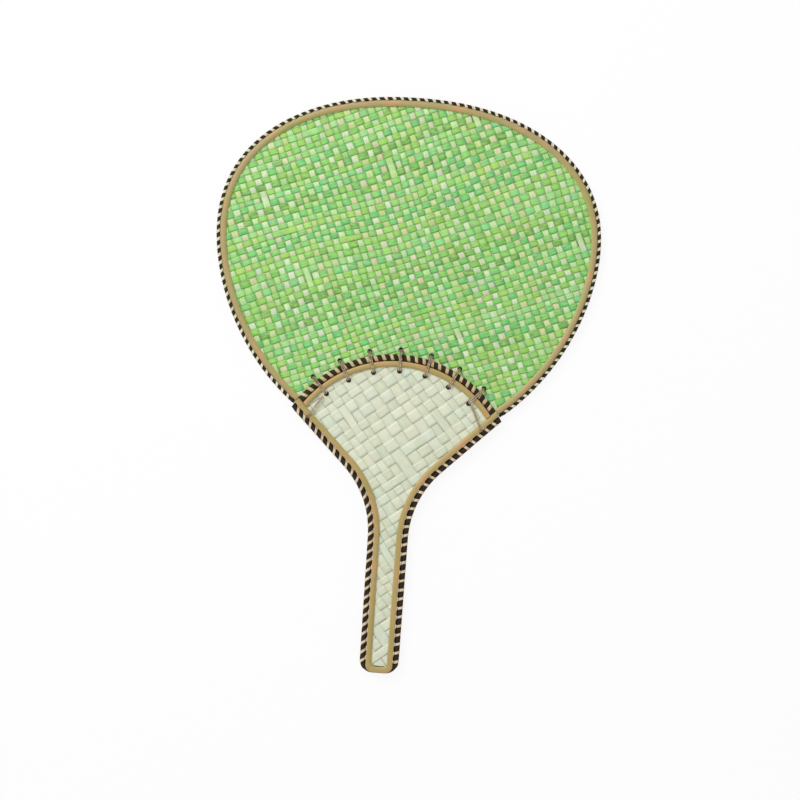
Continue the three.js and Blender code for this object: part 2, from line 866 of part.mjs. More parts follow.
/** The ties that hold blade and handle together. */
function lacingGroup() {
  const group = new THREE.Group();
  tiePoints().forEach(({ outer, inner }, i) => {
    const geometry = tie(outer, inner, tieWidth, tieThickness);
    group.add(piece(`lacing_tie_${i + 1}`, geometry, "waxedTie"));
  });
  for (const { name, pass, hole, side } of cornerTiePoints()) {
    const geometry = tie(pass, hole, cornerTieWidth, handleThread, side);
    group.add(piece(`corner_tie_${name}`, geometry, "waxedTie"));
  }
  return group;
}

const windings = {
  blade_whipping: leastGap(rimWhipping.bends, rimThreadWidth),
  arc_whipping: leastGap(arcWhipping.bends, handleThreadWidth),
  side_whipping_left: leastGap(leftWhipping.bends, handleThreadWidth),
  side_whipping_right: leastGap(rightWhipping.bends, handleThreadWidth),
};
for (const [name, gap] of Object.entries(windings)) {
  console.log(`${name}: least gap between its turns ${gap.toFixed(2)} mm`);
}

const fan = new THREE.Group();
fan.name = "hand_fan";
fan.add(bladeGroup(), handleGroup(), lacingGroup());

// The origin is the middle of the footprint, at the height of the lowest pieces
const reach = new THREE.Box3().setFromObject(fan, true);
const middle = reach.getCenter(new THREE.Vector3());
fan.position.set(-middle.x, -middle.y, -reach.min.z);
fan.updateMatrixWorld(true);

export default fan;
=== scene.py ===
"""Looks of a woven hand fan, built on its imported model.

An oval blade of plain-woven split strips is edged with a dark cord between two bamboo
strips and overcast with a pale flat thread. It is laced to a plaited handle with a
fishtail top. Sizes are in millimetres, and meshes are made in metres.
"""

import bisect
import logging
import math
import random
from dataclasses import dataclass, replace
from enum import Enum
from functools import partial
from typing import Callable, Iterable

import bmesh
import bpy
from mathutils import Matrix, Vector, noise

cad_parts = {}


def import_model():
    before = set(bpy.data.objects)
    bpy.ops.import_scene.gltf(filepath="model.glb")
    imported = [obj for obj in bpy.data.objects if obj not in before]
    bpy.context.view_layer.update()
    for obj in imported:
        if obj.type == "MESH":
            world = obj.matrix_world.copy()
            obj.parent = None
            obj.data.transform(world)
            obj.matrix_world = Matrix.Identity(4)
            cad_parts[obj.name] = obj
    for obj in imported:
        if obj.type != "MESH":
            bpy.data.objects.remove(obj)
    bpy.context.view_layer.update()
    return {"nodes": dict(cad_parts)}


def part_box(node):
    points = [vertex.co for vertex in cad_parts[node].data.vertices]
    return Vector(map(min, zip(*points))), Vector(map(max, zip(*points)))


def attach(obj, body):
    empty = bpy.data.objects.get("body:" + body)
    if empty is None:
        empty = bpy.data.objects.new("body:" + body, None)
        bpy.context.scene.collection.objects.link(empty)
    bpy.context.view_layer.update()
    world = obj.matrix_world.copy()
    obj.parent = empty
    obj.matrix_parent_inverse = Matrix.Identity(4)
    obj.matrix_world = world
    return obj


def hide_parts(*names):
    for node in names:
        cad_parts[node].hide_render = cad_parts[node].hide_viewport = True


MM = 0.001
BODY = "root"
UV_NAME = "strip"
TINT_NAME = "tint"
WELD = 1e-7  # metres between points that are one
CREASE = 50.0  # degrees past which a bamboo strip's edge stays sharp
END_SHARE = 0.6  # share of its half width beyond which a strip or cord is trimmed
DRIFT_APART = 7.3  # how far apart one slow change is drawn from the next

log = logging.getLogger("hand_fan")

Colour = tuple[float, float, float]
Span = tuple[float, float]
Line = tuple[Vector, Vector]


class Choice(Enum):
    """A choice among named options."""

    @property
    def word(self) -> str:
        """Its word in the names of pieces and nodes."""
        return self.name.lower()


class Face(Choice):
    """The fan's two faces, each with its way along Z."""

    FRONT = 1
    BACK = -1


def srgb(*channels: int) -> Colour:
    """Turn a screen colour, 0 to 255 a channel, into a linear one by the usual curve."""
    shares = [channel / 255 for channel in channels]
    return tuple(s / 12.92 if s <= 0.04045 else ((s + 0.055) / 1.055) ** 2.4 for s in shares)


def dyes(*rows: tuple[int, int, int, float]) -> tuple[tuple[Colour, float], ...]:
    """Screen colours, each with its share of the strips."""
    return tuple((srgb(*row[:3]), row[3]) for row in rows)


def blend(first: Colour, second: Colour, share: float) -> Colour:
    """Mix two colours, share 0 being the first."""
    return tuple(a + (b - a) * share for a, b in zip(first, second))


def smooth(share: float) -> float:
    """Ease a share from 0 to 1 in and out."""
    share = min(max(share, 0.0), 1.0)
    return share * share * (3 - 2 * share)


def rounded(value: float, power: float) -> float:
    """A sine or cosine bent so that the ring it draws has fuller corners."""
    return math.copysign(abs(value) ** power, value)


def drift(x: float, y: float, seed: float) -> float:
    """Slow change between about -1 and 1 at a place in periods, its own for each seed."""
    return 2 * noise.noise(Vector((x, y, DRIFT_APART * seed)))


@dataclass(frozen=True)
class Ripple:
    """A small slow change along a strip or thread: its size, run and number."""

    size: float
    run: float
    number: float

    def at(self, place: float, seed: float) -> float:
        """The change at a place, its own for each seed."""
        return self.size * drift(place / self.run, seed, self.number)


def polar(angle: float, radius: float) -> Vector:
    """Point at an angle and a radius about the origin."""
    return Vector((math.cos(angle), math.sin(angle))) * radius


# Routes that strips, cords and threads follow


@dataclass(frozen=True)
class Stand:
    """A place on a route, with the direction out of the fan there."""

    point: Vector
    outward: Vector

    def inside(self, inset: float, height: float) -> Vector:
        """Place at an inset from the route, at a height."""
        flat = self.point - self.outward * inset
        return Vector((flat.x, flat.y, height))


class Route:
    """An open line of points that can be walked by its length."""

    def __init__(self, points: Iterable[Vector]) -> None:
        """Keep the points and measure the lengths up to them.

        Args:
            points: The line's points.
        """
        self.points = list(points)
        self.lengths = [0.0]
        for before, after in zip(self.points, self.points[1:]):
            self.lengths.append(self.lengths[-1] + (after - before).length)

    @property
    def length(self) -> float:
        """Length of the whole route."""
        return self.lengths[-1]

    def spot(self, length: float) -> Vector:
        """Find the point at a length.

        Args:
            length: Length from the start. Past an end, the end's run goes on.

        Returns:
            The point.
        """
        index = min(max(bisect.bisect_right(self.lengths, length) - 1, 0), len(self.points) - 2)
        start, end = self.points[index : index + 2]
        share = (length - self.lengths[index]) / (self.lengths[index + 1] - self.lengths[index])
        return start + (end - start) * share

    def stand(self, length: float, reach: float = 0.6) -> Stand:
        """Place and outward direction at a length, its bends eased over a reach."""
        tangent = (self.spot(length + reach) - self.spot(length - reach)).normalized()
        return Stand(self.spot(length), Vector((tangent.y, -tangent.x)))

    def stands(self, spacing: float) -> list[Stand]:
        """Evenly spaced places along the whole route."""
        count = max(2, round(self.length / spacing))
        return [self.stand(self.length * i / count) for i in range(count + 1)]


@dataclass(frozen=True)
class BladeOutline:
    """Oval outline about the middle of the blade's widest line."""

    half_width: float = 133.7
    rise: float = 96.8
    rise_exponent: float = 2.2
    depth: float = 149.0
    depth_exponent: float = 1.85
    tail: float = 139.0

    def radius(self, angle: float) -> float:
        """Measure the outline in a direction.

        Args:
            angle: The direction off the fan's X, in radians.

        Returns:
            Its distance from the middle.
        """
        rising = math.sin(angle) >= 0
        exponent = self.rise_exponent if rising else self.depth_exponent
        across = abs(math.cos(angle)) / self.half_width
        along = abs(math.sin(angle)) / (self.rise if rising else self.depth)
        return (across**exponent + along**exponent) ** (-1 / exponent)

    def spot(self, angle: float, inset: float = 0.0) -> Vector:
        """Point of the outline in a direction, moved towards the middle."""
        return polar(angle, self.radius(angle) - inset)

    def holds(self, point: Vector, inset: float) -> bool:
        """Whether a point is inside the outline by an inset."""
        return point.length < self.radius(math.atan2(point.y, point.x)) - inset

    def onto(self, point: Vector, inset: float) -> Vector:
        """A point outside brought back to the outline."""
        return self.spot(math.atan2(point.y, point.x), inset)


@dataclass(frozen=True)
class HandleOutline:
    """Fishtail outline: a round top edge, two flanks and a grip with a round end."""

    arc_radius: float = 85.0
    arc_drop: float = 82.4
    flank_angle: float = 45.6
    neck_drop: float = 181.8
    neck_half_width: float = 13.9
    neck_radius: float = 67.0
    end_drop: float = 304.5
    end_half_width: float = 13.3
    end_radius: float = 9.0
    bend_steps: int = 24

    @property
    def arc_centre(self) -> Vector:
        """Centre of the round top edge."""
        return Vector((0.0, -(self.arc_drop + self.arc_radius)))

    def lines(self, inset: float, end_inset: float) -> list[Line]:
        """Draw the right-hand flank, the grip and the end.

        Args:
            inset: How far inside the outline flank and grip lie.
            end_inset: How far inside it the end lies.

        Returns:
            The three lines, each a point and a direction.
        """
        flank = math.radians(self.flank_angle)
        neck = Vector((self.neck_half_width, -self.neck_drop))
        end = Vector((self.end_half_width, -self.end_drop))
        flank_along = Vector((math.sin(flank), math.cos(flank)))
        grip_along = (neck - end).normalized()
        turned = [Vector((-along.y, along.x)) * inset for along in (flank_along, grip_along)]
        return [
            (neck + turned[0], flank_along),
            (neck + turned[1], grip_along),
            (end + Vector((0.0, end_inset)), Vector((1.0, 0.0))),
        ]

    @staticmethod
    def crossing(first: Line, second: Line) -> Vector:
        """Where two lines cross."""
        share = (second[0] - first[0]).cross(second[1]) / first[1].cross(second[1])
        return first[0] + first[1] * share

    def tip(self, inset: float, radius: float) -> Vector:
        """Find where the right flank meets a circle about the round edge's centre.

        Args:
            inset: How far inside the outline the flank's line lies.
            radius: The circle's radius.

        Returns:
            The meeting point.
        """
        point, along = self.lines(inset, 0.0)[0]
        to_centre = self.arc_centre - point
        apart = to_centre.cross(along)
        return point + along * (to_centre.dot(along) + math.sqrt(radius**2 - apart**2))

    def tangent(self, point: Vector) -> Vector:
        """Direction that the round edge has at a point, towards the left."""
        spoke = (point - self.arc_centre).normalized()
        return Vector((-spoke.y, spoke.x))

    def bend(self, corner: Vector, towards: Vector, away: Vector, radius: float) -> list[Vector]:
        """Round a corner.

        Args:
            corner: The corner.
            towards: Direction from it to the side where the bend starts.
            away: Direction from it to the side where the bend ends.
            radius: Radius of the bend.

        Returns:
            Points of the bend.
        """
        half = towards.angle(away) / 2
        centre = corner + (towards + away).normalized() * (radius / math.sin(half))
        start = corner + towards * (radius / math.tan(half)) - centre
        finish = corner + away * (radius / math.tan(half)) - centre
        turn = math.atan2(start.cross(finish), start.dot(finish))
        points = []
        for i in range(self.bend_steps + 1):
            angle = turn * i / self.bend_steps
            cos, sin = math.cos(angle), math.sin(angle)
            spoke = Vector((cos * start.x - sin * start.y, sin * start.x + cos * start.y))
            points.append(centre + spoke)
        return points

    def sides(self, inset: float, end_inset: float, radius: float, top_radius: float) -> Route:
        """Draw the way down the left side, round the end and up the right side.

        Args:
            inset: How far inside the outline it runs.
            end_inset: How far inside it the end's run lies.
            radius: Radius of the end's two bends.
            top_radius: Where it starts and stops, as a distance from the arc's centre.

        Returns:
            The route.
        """
        flank, grip, end = self.lines(inset, end_inset)
        right = self.bend(self.crossing(grip, end), Vector((-1.0, 0.0)), grip[1], radius)
        neck = self.crossing(flank, grip)
        right += self.bend(neck, -grip[1], flank[1], self.neck_radius + inset)
        right.append(self.tip(inset, top_radius))
        left = [Vector((-point.x, point.y)) for point in reversed(right)]
        return Route(left + right)

    def arc(self, radius: float, inset: float = 0.0, steps: int = 120) -> Route:
        """Draw the way along the round edge, from the right corner to the left.

        Args:
            radius: Its radius.
            inset: How far inside the flanks' outline it starts and stops.
            steps: How many runs it has.

        Returns:
            The route.
        """
        tip = self.tip(inset, radius) - self.arc_centre
        start = math.atan2(tip.y, tip.x)
        angles = [start + (math.pi - 2 * start) * i / steps for i in range(steps + 1)]
        return Route(self.arc_centre + polar(angle, radius) for angle in angles)

    def spoke(self, radius: float, degrees: float) -> Vector:
        """Point at a radius and an angle off the fan's axis."""
        angle = math.radians(degrees)
        return self.arc_centre + Vector((math.sin(angle), math.cos(angle))) * radius


def surrounds(corners: list[Vector], point: Vector) -> bool:
    """Tell whether a closed line goes round a point.

    Args:
        corners: The line's corners.
        point: The point.

    Returns:
        Whether the point is inside.
    """
    found = False
    for before, corner in zip(corners[-1:] + corners, corners):
        if (corner.y > point.y) != (before.y > point.y):
            share = (point.y - corner.y) / (before.y - corner.y)
            if point.x < corner.x + share * (before.x - corner.x):
                found = not found
    return found


def nearest(corners: list[Vector], point: Vector) -> Vector:
    """Find the place on a closed line that is nearest to a point.

    Args:
        corners: The line's corners.
        point: The point.

    Returns:
        The nearest place.
    """
    best = corners[0]
    for before, corner in zip(corners[-1:] + corners, corners):
        run = corner - before
        share = min(max((point - before).dot(run) / max(run.length_squared, 1e-9), 0.0), 1.0)
        spot = before + run * share
        if (spot - point).length_squared < (best - point).length_squared:
            best = spot
    return best


# Meshes


@dataclass(frozen=True)
class Coat:
    """A finish made ready, with the record's slot that it stands for."""

    material: bpy.types.Material
    slot: str


def uv_layer(bm: bmesh.types.BMesh) -> bmesh.types.BMLayerItem:
    """The mesh's own coordinates, begun if it has none."""
    layers = bm.loops.layers.uv
    return layers.get(UV_NAME) or layers.new(UV_NAME)


class Bench:
    """Makes meshes from rolled and shaped grids and hands them to the fan."""

    def __init__(self, outline: HandleOutline) -> None:
        """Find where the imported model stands.

        Args:
            outline: The handle's outline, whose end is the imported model's lower end.
        """
        low, high = (Vector(corner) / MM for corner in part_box("side_cord"))
        middle = (low + high) / 2
        self.origin = Vector((middle.x, low.y + outline.end_drop, middle.z))

    def place(self, point: Vector) -> Vector:
        """A drawn point in millimetres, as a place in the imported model's metres."""
        return (point + self.origin) * MM

    def sheet(self, bm: bmesh.types.BMesh, rows: int, columns: int) -> dict:
        """Add a grid and find its vertices.

        Args:
            bm: Mesh that gets the grid.
            rows: Faces along.
            columns: Faces across.

        Returns:
            Each new vertex's place in the grid, along and across.
        """
        made = bmesh.ops.create_grid(bm, x_segments=rows, y_segments=columns, size=1.0)
        return {
            vert: (round((vert.co.x + 1) / 2 * rows), round((vert.co.y + 1) / 2 * columns))
            for vert in made["verts"]
        }

    def roll(
        self,
        bm: bmesh.types.BMesh,
        rings: list[list[Vector]],
        start: float = 0.0,
        closed: bool = False,
    ) -> None:
        """Roll a grid round a row of rings into a closed tube.

        Args:
            bm: Mesh that gets the tube.
            rings: Rings of points in millimetres, all of one count.
            start: Length at which the tube's own coordinates start.
            closed: Whether the last ring joins the first.
        """
        sides = len(rings[0])
        laps = rings + rings[:1] if closed else rings
        lengths = [start]
        for before, after in zip(laps, laps[1:]):
            lengths.append(lengths[-1] + (after[0] - before[0]).length)
        uv = uv_layer(bm)
        spots = self.sheet(bm, len(laps) - 1, sides)
        for vert, (i, j) in spots.items():
            for loop in vert.link_loops:
                loop[uv].uv = (lengths[i] * MM, j / sides)
            vert.co = self.place(laps[i][j % sides])
        bmesh.ops.remove_doubles(bm, verts=list(spots), dist=WELD)
        if not closed:
            rims = [edge for edge in bm.edges if edge.is_boundary]
            bmesh.ops.holes_fill(bm, edges=rims, sides=sides)

    def piece(
        self, name: str, bm: bmesh.types.BMesh, coat: Coat, node: str, crease: float | None = None
    ) -> bpy.types.Object:
        """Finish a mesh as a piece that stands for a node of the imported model.

        Args:
            name: Name of the piece.
            bm: Its mesh, freed here. One that is closed has its faces turned outwards.
            coat: Its finish.
            node: Node that it replaces.
            crease: Degrees past which an edge stays sharp, or None for all smooth.

        Returns:
            The object.
        """
        if not any(edge.is_boundary for edge in bm.edges):
            bmesh.ops.recalc_face_normals(bm, faces=bm.faces)
        mesh = bpy.data.meshes.new(name)
        bm.to_mesh(mesh)
        bm.free()
        mesh.materials.append(coat.material)
        mesh.shade_smooth()
        if crease is not None:
            mesh.set_sharp_from_angle(angle=math.radians(crease))
        piece = bpy.data.objects.new(name, mesh)
        bpy.context.scene.collection.objects.link(piece)
        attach(piece, BODY)
        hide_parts(node)
        log.info("%s: %d faces", name, len(mesh.polygons))
        return piece


# Shader nodes


@dataclass(frozen=True)
class Fibres:
    """Fibres: how many across, their contrast, and how many a metre holds lengthways."""

    streaks: float
    contrast: float
    run: float = 60.0


@dataclass(frozen=True)
class Tinge:
    """A colour that comes in by a share as a value goes through a span."""

    colour: Colour
    span: Span
    share: Span


class Nodes:
    """A node tree with short calls that add and link its nodes."""

    def __init__(self, tree: bpy.types.NodeTree) -> None:
        """Keep the tree."""
        self.tree = tree

    def add(self, kind: str, feeds: dict | None = None, **settings: object) -> bpy.types.Node:
        """Add a node.

        Args:
            kind: Its type without the ShaderNode prefix.
            feeds: A value or an output socket for each named or numbered input.
            settings: Properties to set before its inputs.

        Returns:
            The node.
        """
        node = self.tree.nodes.new(kind if kind.startswith("Node") else "ShaderNode" + kind)
        for key, value in settings.items():
            setattr(node, key, value)
        for key, value in (feeds or {}).items():
            if isinstance(value, bpy.types.NodeSocket):
                self.tree.links.new(value, node.inputs[key])
            else:
                node.inputs[key].default_value = value
        return node

    def math(self, operation: str, *values: object) -> bpy.types.NodeSocket:
        """Add a sum and return its result."""
        return self.add("Math", dict(enumerate(values)), operation=operation).outputs[0]

    def mix(
        self, share: object, first: object, second: object, kind: str = "MIX"
    ) -> bpy.types.NodeSocket:
        """Mix two colours and return the result."""
        feeds = {0: share, 6: first, 7: second}
        return self.add("Mix", feeds, data_type="RGBA", blend_type=kind).outputs[2]

    def tinge(self, share: object, first: object, colour: Colour) -> bpy.types.NodeSocket:
        """Mix a plain colour in and return the result."""
        return self.mix(share, first, (*colour, 1.0))

    def stretch(self, value: object, span: Span, to: Span = (0.0, 1.0)) -> bpy.types.NodeSocket:
        """Map a span of a value to another and return the result."""
        feeds = {0: value, 1: span[0], 2: span[1], 3: to[0], 4: to[1]}
        return self.add("MapRange", feeds, interpolation_type="SMOOTHSTEP").outputs[0]

    def noise(self, place: object, scale: float, detail: float) -> bpy.types.NodeSocket:
        """Add a noise and return its result."""
        return self.add("TexNoise", {"Vector": place, "Scale": scale, "Detail": detail}).outputs[0]


class Draft(Nodes):
    """A new material, given its coordinates and fibres and then its shader's inputs."""

    def __init__(self, name: str) -> None:
        """Start the material.

        Args:
            name: Its name.
        """
        self.material = bpy.data.materials.new(name)
        self.material.use_nodes = True
        super().__init__(self.material.node_tree)

    def strip(self) -> bpy.types.NodeSocket:
        """The piece's own coordinates, along and round or across it."""
        return self.add("UVMap", uv_map=UV_NAME).outputs[0]

    def grain(
        self, group: bpy.types.NodeTree, place: object, fibres: Fibres
    ) -> bpy.types.bpy_prop_collection:
        """Add fibres.

        Args:
            group: The fibre group.
            place: Coordinates that they follow.
            fibres: Their sizes.

        Returns:
            The group's outputs.
        """
        feeds = {"Strip": place, "Streaks": fibres.streaks}
        feeds |= {"Length": fibres.run, "Contrast": fibres.contrast}
        return self.add("Group", feeds, node_tree=group).outputs

    def layer(self, colour: object, value: object, tinge: Tinge) -> bpy.types.NodeSocket:
        """Let a tinge in by a value and return the result."""
        share = self.stretch(value, tinge.span, tinge.share)
        return self.tinge(share, colour, tinge.colour)

    def shaded(self, colour: object, shade: bpy.types.NodeSocket) -> bpy.types.NodeSocket:
        """Darken a colour by a shade and return the result."""
        grey = self.add("CombineColor", {i: shade for i in range(3)}).outputs[0]
        return self.mix(1.0, colour, grey, "MULTIPLY")

    def finish(
        self,
        colour: bpy.types.NodeSocket,
        height: bpy.types.NodeSocket,
        relief: Span,
        roughness: float,
        swing: Span | None = None,
        specular: float = 0.5,
    ) -> bpy.types.Material:
        """Feed the shader.

        Args:
            colour: The colour.
            height: The relief's height, from 0 to 1.
            relief: The relief's strength, and its depth in millimetres.
            roughness: Roughness.
            swing: What a low and a high place add to the roughness, or None for nothing.
            specular: How strongly it mirrors.

        Returns:
            The material.
        """
        feeds = {"Height": height, "Strength": relief[0], "Distance": relief[1] * MM}
        bump = self.add("Bump", feeds).outputs[0]
        shader = self.tree.nodes["Principled BSDF"].inputs
        self.tree.links.new(colour, shader["Base Color"])
        self.tree.links.new(bump, shader["Normal"])
        shader["Roughness"].default_value = roughness
        if swing is not None:
            uneven = self.math("ADD", self.stretch(height, (0.2, 0.8), swing), roughness)
            self.tree.links.new(uneven, shader["Roughness"])
        shader["Specular IOR Level"].default_value = specular
        return self.material


def new_group(name: str, inputs: dict[str, float | None], outputs: Iterable[str]) -> Nodes:
    """Start a shader node group.

    Args:
        name: Name of the group.
        inputs: Default of each number it takes, or None where it takes coordinates.
        outputs: Name of each number it gives.

    Returns:
        The group's nodes, its Group Input and Group Output made.
    """
    tree = bpy.data.node_groups.new(name, "ShaderNodeTree")
    for label, value in inputs.items():
        kind = "NodeSocketVector" if value is None else "NodeSocketFloat"
        socket = tree.interface.new_socket(label, in_out="INPUT", socket_type=kind)
        if value is not None:
            socket.default_value = value
    for label in outputs:
        tree.interface.new_socket(label, in_out="OUTPUT", socket_type="NodeSocketFloat")
    nodes = Nodes(tree)
    nodes.add("NodeGroupInput", name="in")
    nodes.add("NodeGroupOutput", name="out")
    return nodes


def split_fibre_group() -> bpy.types.NodeTree:
    """Build the effect of fibres that run along a strip.

    Returns:
        A group that gives a shade about 1 and a height from a strip's own coordinates.
    """
    inputs = {"Strip": None, "Streaks": 600.0, "Length": 60.0, "Contrast": 0.2}
    nodes = new_group("split_fibres", inputs, ("Shade", "Height", "Streak"))
    tree = nodes.tree
    given = tree.nodes["in"].outputs
    split = nodes.add("SeparateXYZ", {0: given["Strip"]}).outputs
    along = nodes.math("MULTIPLY", split[0], given["Length"])
    across = nodes.math("MULTIPLY", split[1], given["Streaks"])
    place = nodes.add("CombineXYZ", {0: along, 1: across, 2: split[2]}).outputs[0]
    fine = nodes.noise(place, 1.0, 3.0)
    shorter, broader, fine_share = 3.0, 0.24, 0.45
    feeds = {0: place, 1: (shorter, broader, 1.0)}
    wider = nodes.add("VectorMath", feeds, operation="MULTIPLY").outputs[0]
    broad = nodes.noise(wider, 1.0, 1.0)
    parts = [(fine, fine_share), (broad, 1 - fine_share)]
    both = nodes.math("ADD", *(nodes.math("MULTIPLY", *part) for part in parts))
    swing = nodes.math("MULTIPLY", nodes.math("SUBTRACT", both, 0.5), given["Contrast"])
    out = tree.nodes["out"].inputs
    tree.links.new(nodes.math("ADD", swing, 1.0), out["Shade"])
    tree.links.new(both, out["Height"])
    tree.links.new(broad, out["Streak"])
    return tree


def pierced_group() -> bpy.types.NodeTree:
    """Build painted shade for the holes along two rings about the handle's round edge.

    Returns:
        A group that gives 1 in a hole's rim and 0 away from it.
    """
    rings = {"Outer ring": 0.0886, "Inner ring": 0.0736}
    inputs = {"Place": None, "Spacing": 0.246, "Half sweep": 0.85, **rings, "Hole": 0.00175}
    nodes = new_group("pierced_holes", inputs, ("Mask",))
    tree = nodes.tree
    given = tree.nodes["in"].outputs
    split = nodes.add("SeparateXYZ", {0: given["Place"]}).outputs
    angle = nodes.math("ARCTAN2", split[0], split[1])
    half = nodes.math("MULTIPLY", given["Spacing"], 0.5)
    local = nodes.math("WRAP", angle, half, nodes.math("MULTIPLY", half, -1.0))
    squares = [nodes.math("MULTIPLY", split[axis], split[axis]) for axis in range(2)]
    radius = nodes.math("SQRT", nodes.math("ADD", *squares))
    sideways = nodes.math("POWER", nodes.math("MULTIPLY", local, radius), 2.0)
    away = []
    for ring in rings:
        apart = nodes.math("POWER", nodes.math("SUBTRACT", radius, given[ring]), 2.0)
        away.append(nodes.math("SQRT", nodes.math("ADD", apart, sideways)))
    edge = nodes.math("SUBTRACT", given["Hole"], nodes.math("MINIMUM", *away))
    sharpness = 5000.0
    soft = nodes.math("ADD", nodes.math("MULTIPLY", edge, sharpness), 0.5)
    mask = nodes.add("Clamp", {0: soft}).outputs[0]
    within = nodes.math("LESS_THAN", nodes.math("ABSOLUTE", angle), given["Half sweep"])
    tree.links.new(nodes.math("MULTIPLY", mask, within), tree.nodes["out"].inputs["Mask"])
    return tree


@dataclass(frozen=True)
class Effects:
    """The groups that materials share, and the centre of the handle's round edge."""

    fibres: bpy.types.NodeTree
    pierced: bpy.types.NodeTree
    hub: Vector


@dataclass(frozen=True)
class StripFinish:
    """Split strips: a tint kept on the mesh, fibres, painted shade along their edges, and painted
    dark holes.
    """

    name: str
    slot: str
    roughness: float
    fibres: Fibres
    streak: Tinge
    # Painted shade along both edges of each strip, where it meets its neighbours.
    edge: Tinge
    relief: Span
    # Painted shade in place of the inside of each hole, which the mesh doesn't cut.
    hole_shade: Colour = srgb(16, 11, 7)
    swing: Span = (-0.07, 0.07)
    specular: float = 0.35

    def coat(self, effects: Effects) -> Coat:
        """Build the material.

        Args:
            effects: What materials share.

        Returns:
            The coat.
        """
        draft = Draft(self.name)
        strip = draft.strip()
        grain = draft.grain(effects.fibres, strip, self.fibres)
        tint = draft.add("Attribute", attribute_name=TINT_NAME).outputs["Color"]
        colour = draft.shaded(tint, grain["Shade"])
        colour = draft.layer(colour, grain["Streak"], self.streak)
        # Painted shade towards both edges of the strip.
        across = draft.add("SeparateXYZ", {0: strip}).outputs[1]
        offset = draft.math("ABSOLUTE", draft.math("SUBTRACT", across, 0.5))
        colour = draft.layer(colour, offset, self.edge)
        # Painted dark discs for the holes and the shade inside them.
        place = draft.add("TexCoord").outputs["Object"]
        feeds = {0: place, 1: effects.hub}
        about = draft.add("VectorMath", feeds, operation="SUBTRACT").outputs[0]
        mask = draft.add("Group", {"Place": about}, node_tree=effects.pierced).outputs[0]
        colour = draft.tinge(mask, colour, self.hole_shade)
        look = (self.relief, self.roughness, self.swing, self.specular)
        return Coat(draft.finish(colour, grain["Height"], *look), self.slot)


@dataclass(frozen=True)
class BambooFinish:
    """Bent bamboo strips: tan outside, ochre inside, with uneven patches and painted shade on the
    outer edge.
    """

    name: str
    outer: Colour
    inner: Colour
    slot: str = "bamboo"
    halves: Span = (0.35, 0.67)
    patch: Tinge = Tinge(srgb(200, 146, 98), (0.5, 0.66), (0.0, 0.65))
    olive: Tinge = Tinge(srgb(158, 146, 78), (0.52, 0.7), (0.0, 0.6))
    # Painted shade along the strip's outer edge, darkest low down.
    edge: Tinge = Tinge(srgb(148, 128, 72), (0.05, 0.19), (0.5, 0.0))
    sapwood: Tinge = Tinge(srgb(208, 192, 142), (0.65, 0.85), (0.0, 0.7))
    fibres: Fibres = Fibres(42.0, 0.5)
    patch_scale: float = 46.0
    ageing_scale: float = 17.0
    ageing_shift: float = 0.9
    relief: Span = (0.35, 0.2)
    roughness: float = 0.45
    swing: Span = (-0.08, 0.1)

    def coat(self, effects: Effects) -> Coat:
        """Build the material.

        Args:
            effects: What materials share.

        Returns:
            The coat.
        """
        draft = Draft(self.name)
        strip = draft.strip()
        grain = draft.grain(effects.fibres, strip, self.fibres)
        split = draft.add("SeparateXYZ", {0: strip}).outputs
        along = draft.add("CombineXYZ", {0: split[0]}).outputs[0]
        patches = draft.noise(along, self.patch_scale, 3.0)
        ageing = draft.noise(along, self.ageing_scale, 1.0)
        shift = draft.math("MULTIPLY", draft.math("SUBTRACT", ageing, 0.5), self.ageing_shift)
        halves = draft.stretch(draft.math("ADD", split[1], shift), self.halves)
        colour = draft.tinge(halves, (*self.outer, 1.0), self.inner)
        colour = draft.layer(colour, patches, self.patch)
        colour = draft.layer(colour, ageing, self.olive)
        colour = draft.shaded(colour, grain["Shade"])
        # Painted shade along the outer edge.
        colour = draft.layer(colour, split[1], self.edge)
        colour = draft.layer(colour, split[1], self.sapwood)
        look = (self.relief, self.roughness, self.swing)
        return Coat(draft.finish(colour, grain["Height"], *look), self.slot)


@dataclass(frozen=True)
class StrandFinish:
    """Cord or thread: fibres that turn round it, in two close colours."""

    name: str
    slot: str
    light: Colour
    dark: Colour
    roughness: float = 0.6
    relief: float = 0.5
    twist: float = 60.0
    specular: float = 0.5
    fibres: Fibres = Fibres(14.0, 0.5, 90.0)
    shades: Span = (0.36, 0.62)
    depth: float = 0.25
    swing: Span = (0.08, -0.08)

    def coat(self, effects: Effects) -> Coat:
        """Build the material.

        Args:
            effects: What materials share.

        Returns:
            The coat.
        """
        draft = Draft(self.name)
        split = draft.add("SeparateXYZ", {0: draft.strip()}).outputs
        turned = draft.math("ADD", split[1], draft.math("MULTIPLY", split[0], self.twist))
        place = draft.add("CombineXYZ", {0: split[0], 1: turned}).outputs[0]
        height = draft.grain(effects.fibres, place, self.fibres)["Height"]
        share = draft.stretch(height, self.shades)
        colour = draft.tinge(share, (*self.dark, 1.0), self.light)
        look = ((self.relief, self.depth), self.roughness, self.swing, self.specular)
        return Coat(draft.finish(colour, height, *look), self.slot)


@dataclass(frozen=True)
class CoreFinish:
    """The wooden core between the leaves, with a fine straight grain."""

    light: Colour = srgb(206, 184, 140)
    dark: Colour = srgb(176, 150, 104)
    grain: tuple[float, float, float] = (260.0, 14.0, 200.0)
    detail: float = 4.0
    shades: Span = (0.35, 0.65)
    relief: Span = (0.2, 0.1)
    roughness: float = 0.6

    def material(self) -> bpy.types.Material:
        """Build the material.

        Returns:
            The material.
        """
        draft = Draft("core_wood")
        place = draft.add("TexCoord").outputs["Object"]
        drawn = draft.add("VectorMath", {0: place, 1: self.grain}, operation="MULTIPLY").outputs[0]
        grain = draft.noise(drawn, 1.0, self.detail)
        share = draft.stretch(grain, self.shades)
        colour = draft.tinge(share, (*self.dark, 1.0), self.light)
        return draft.finish(colour, grain, self.relief, self.roughness)


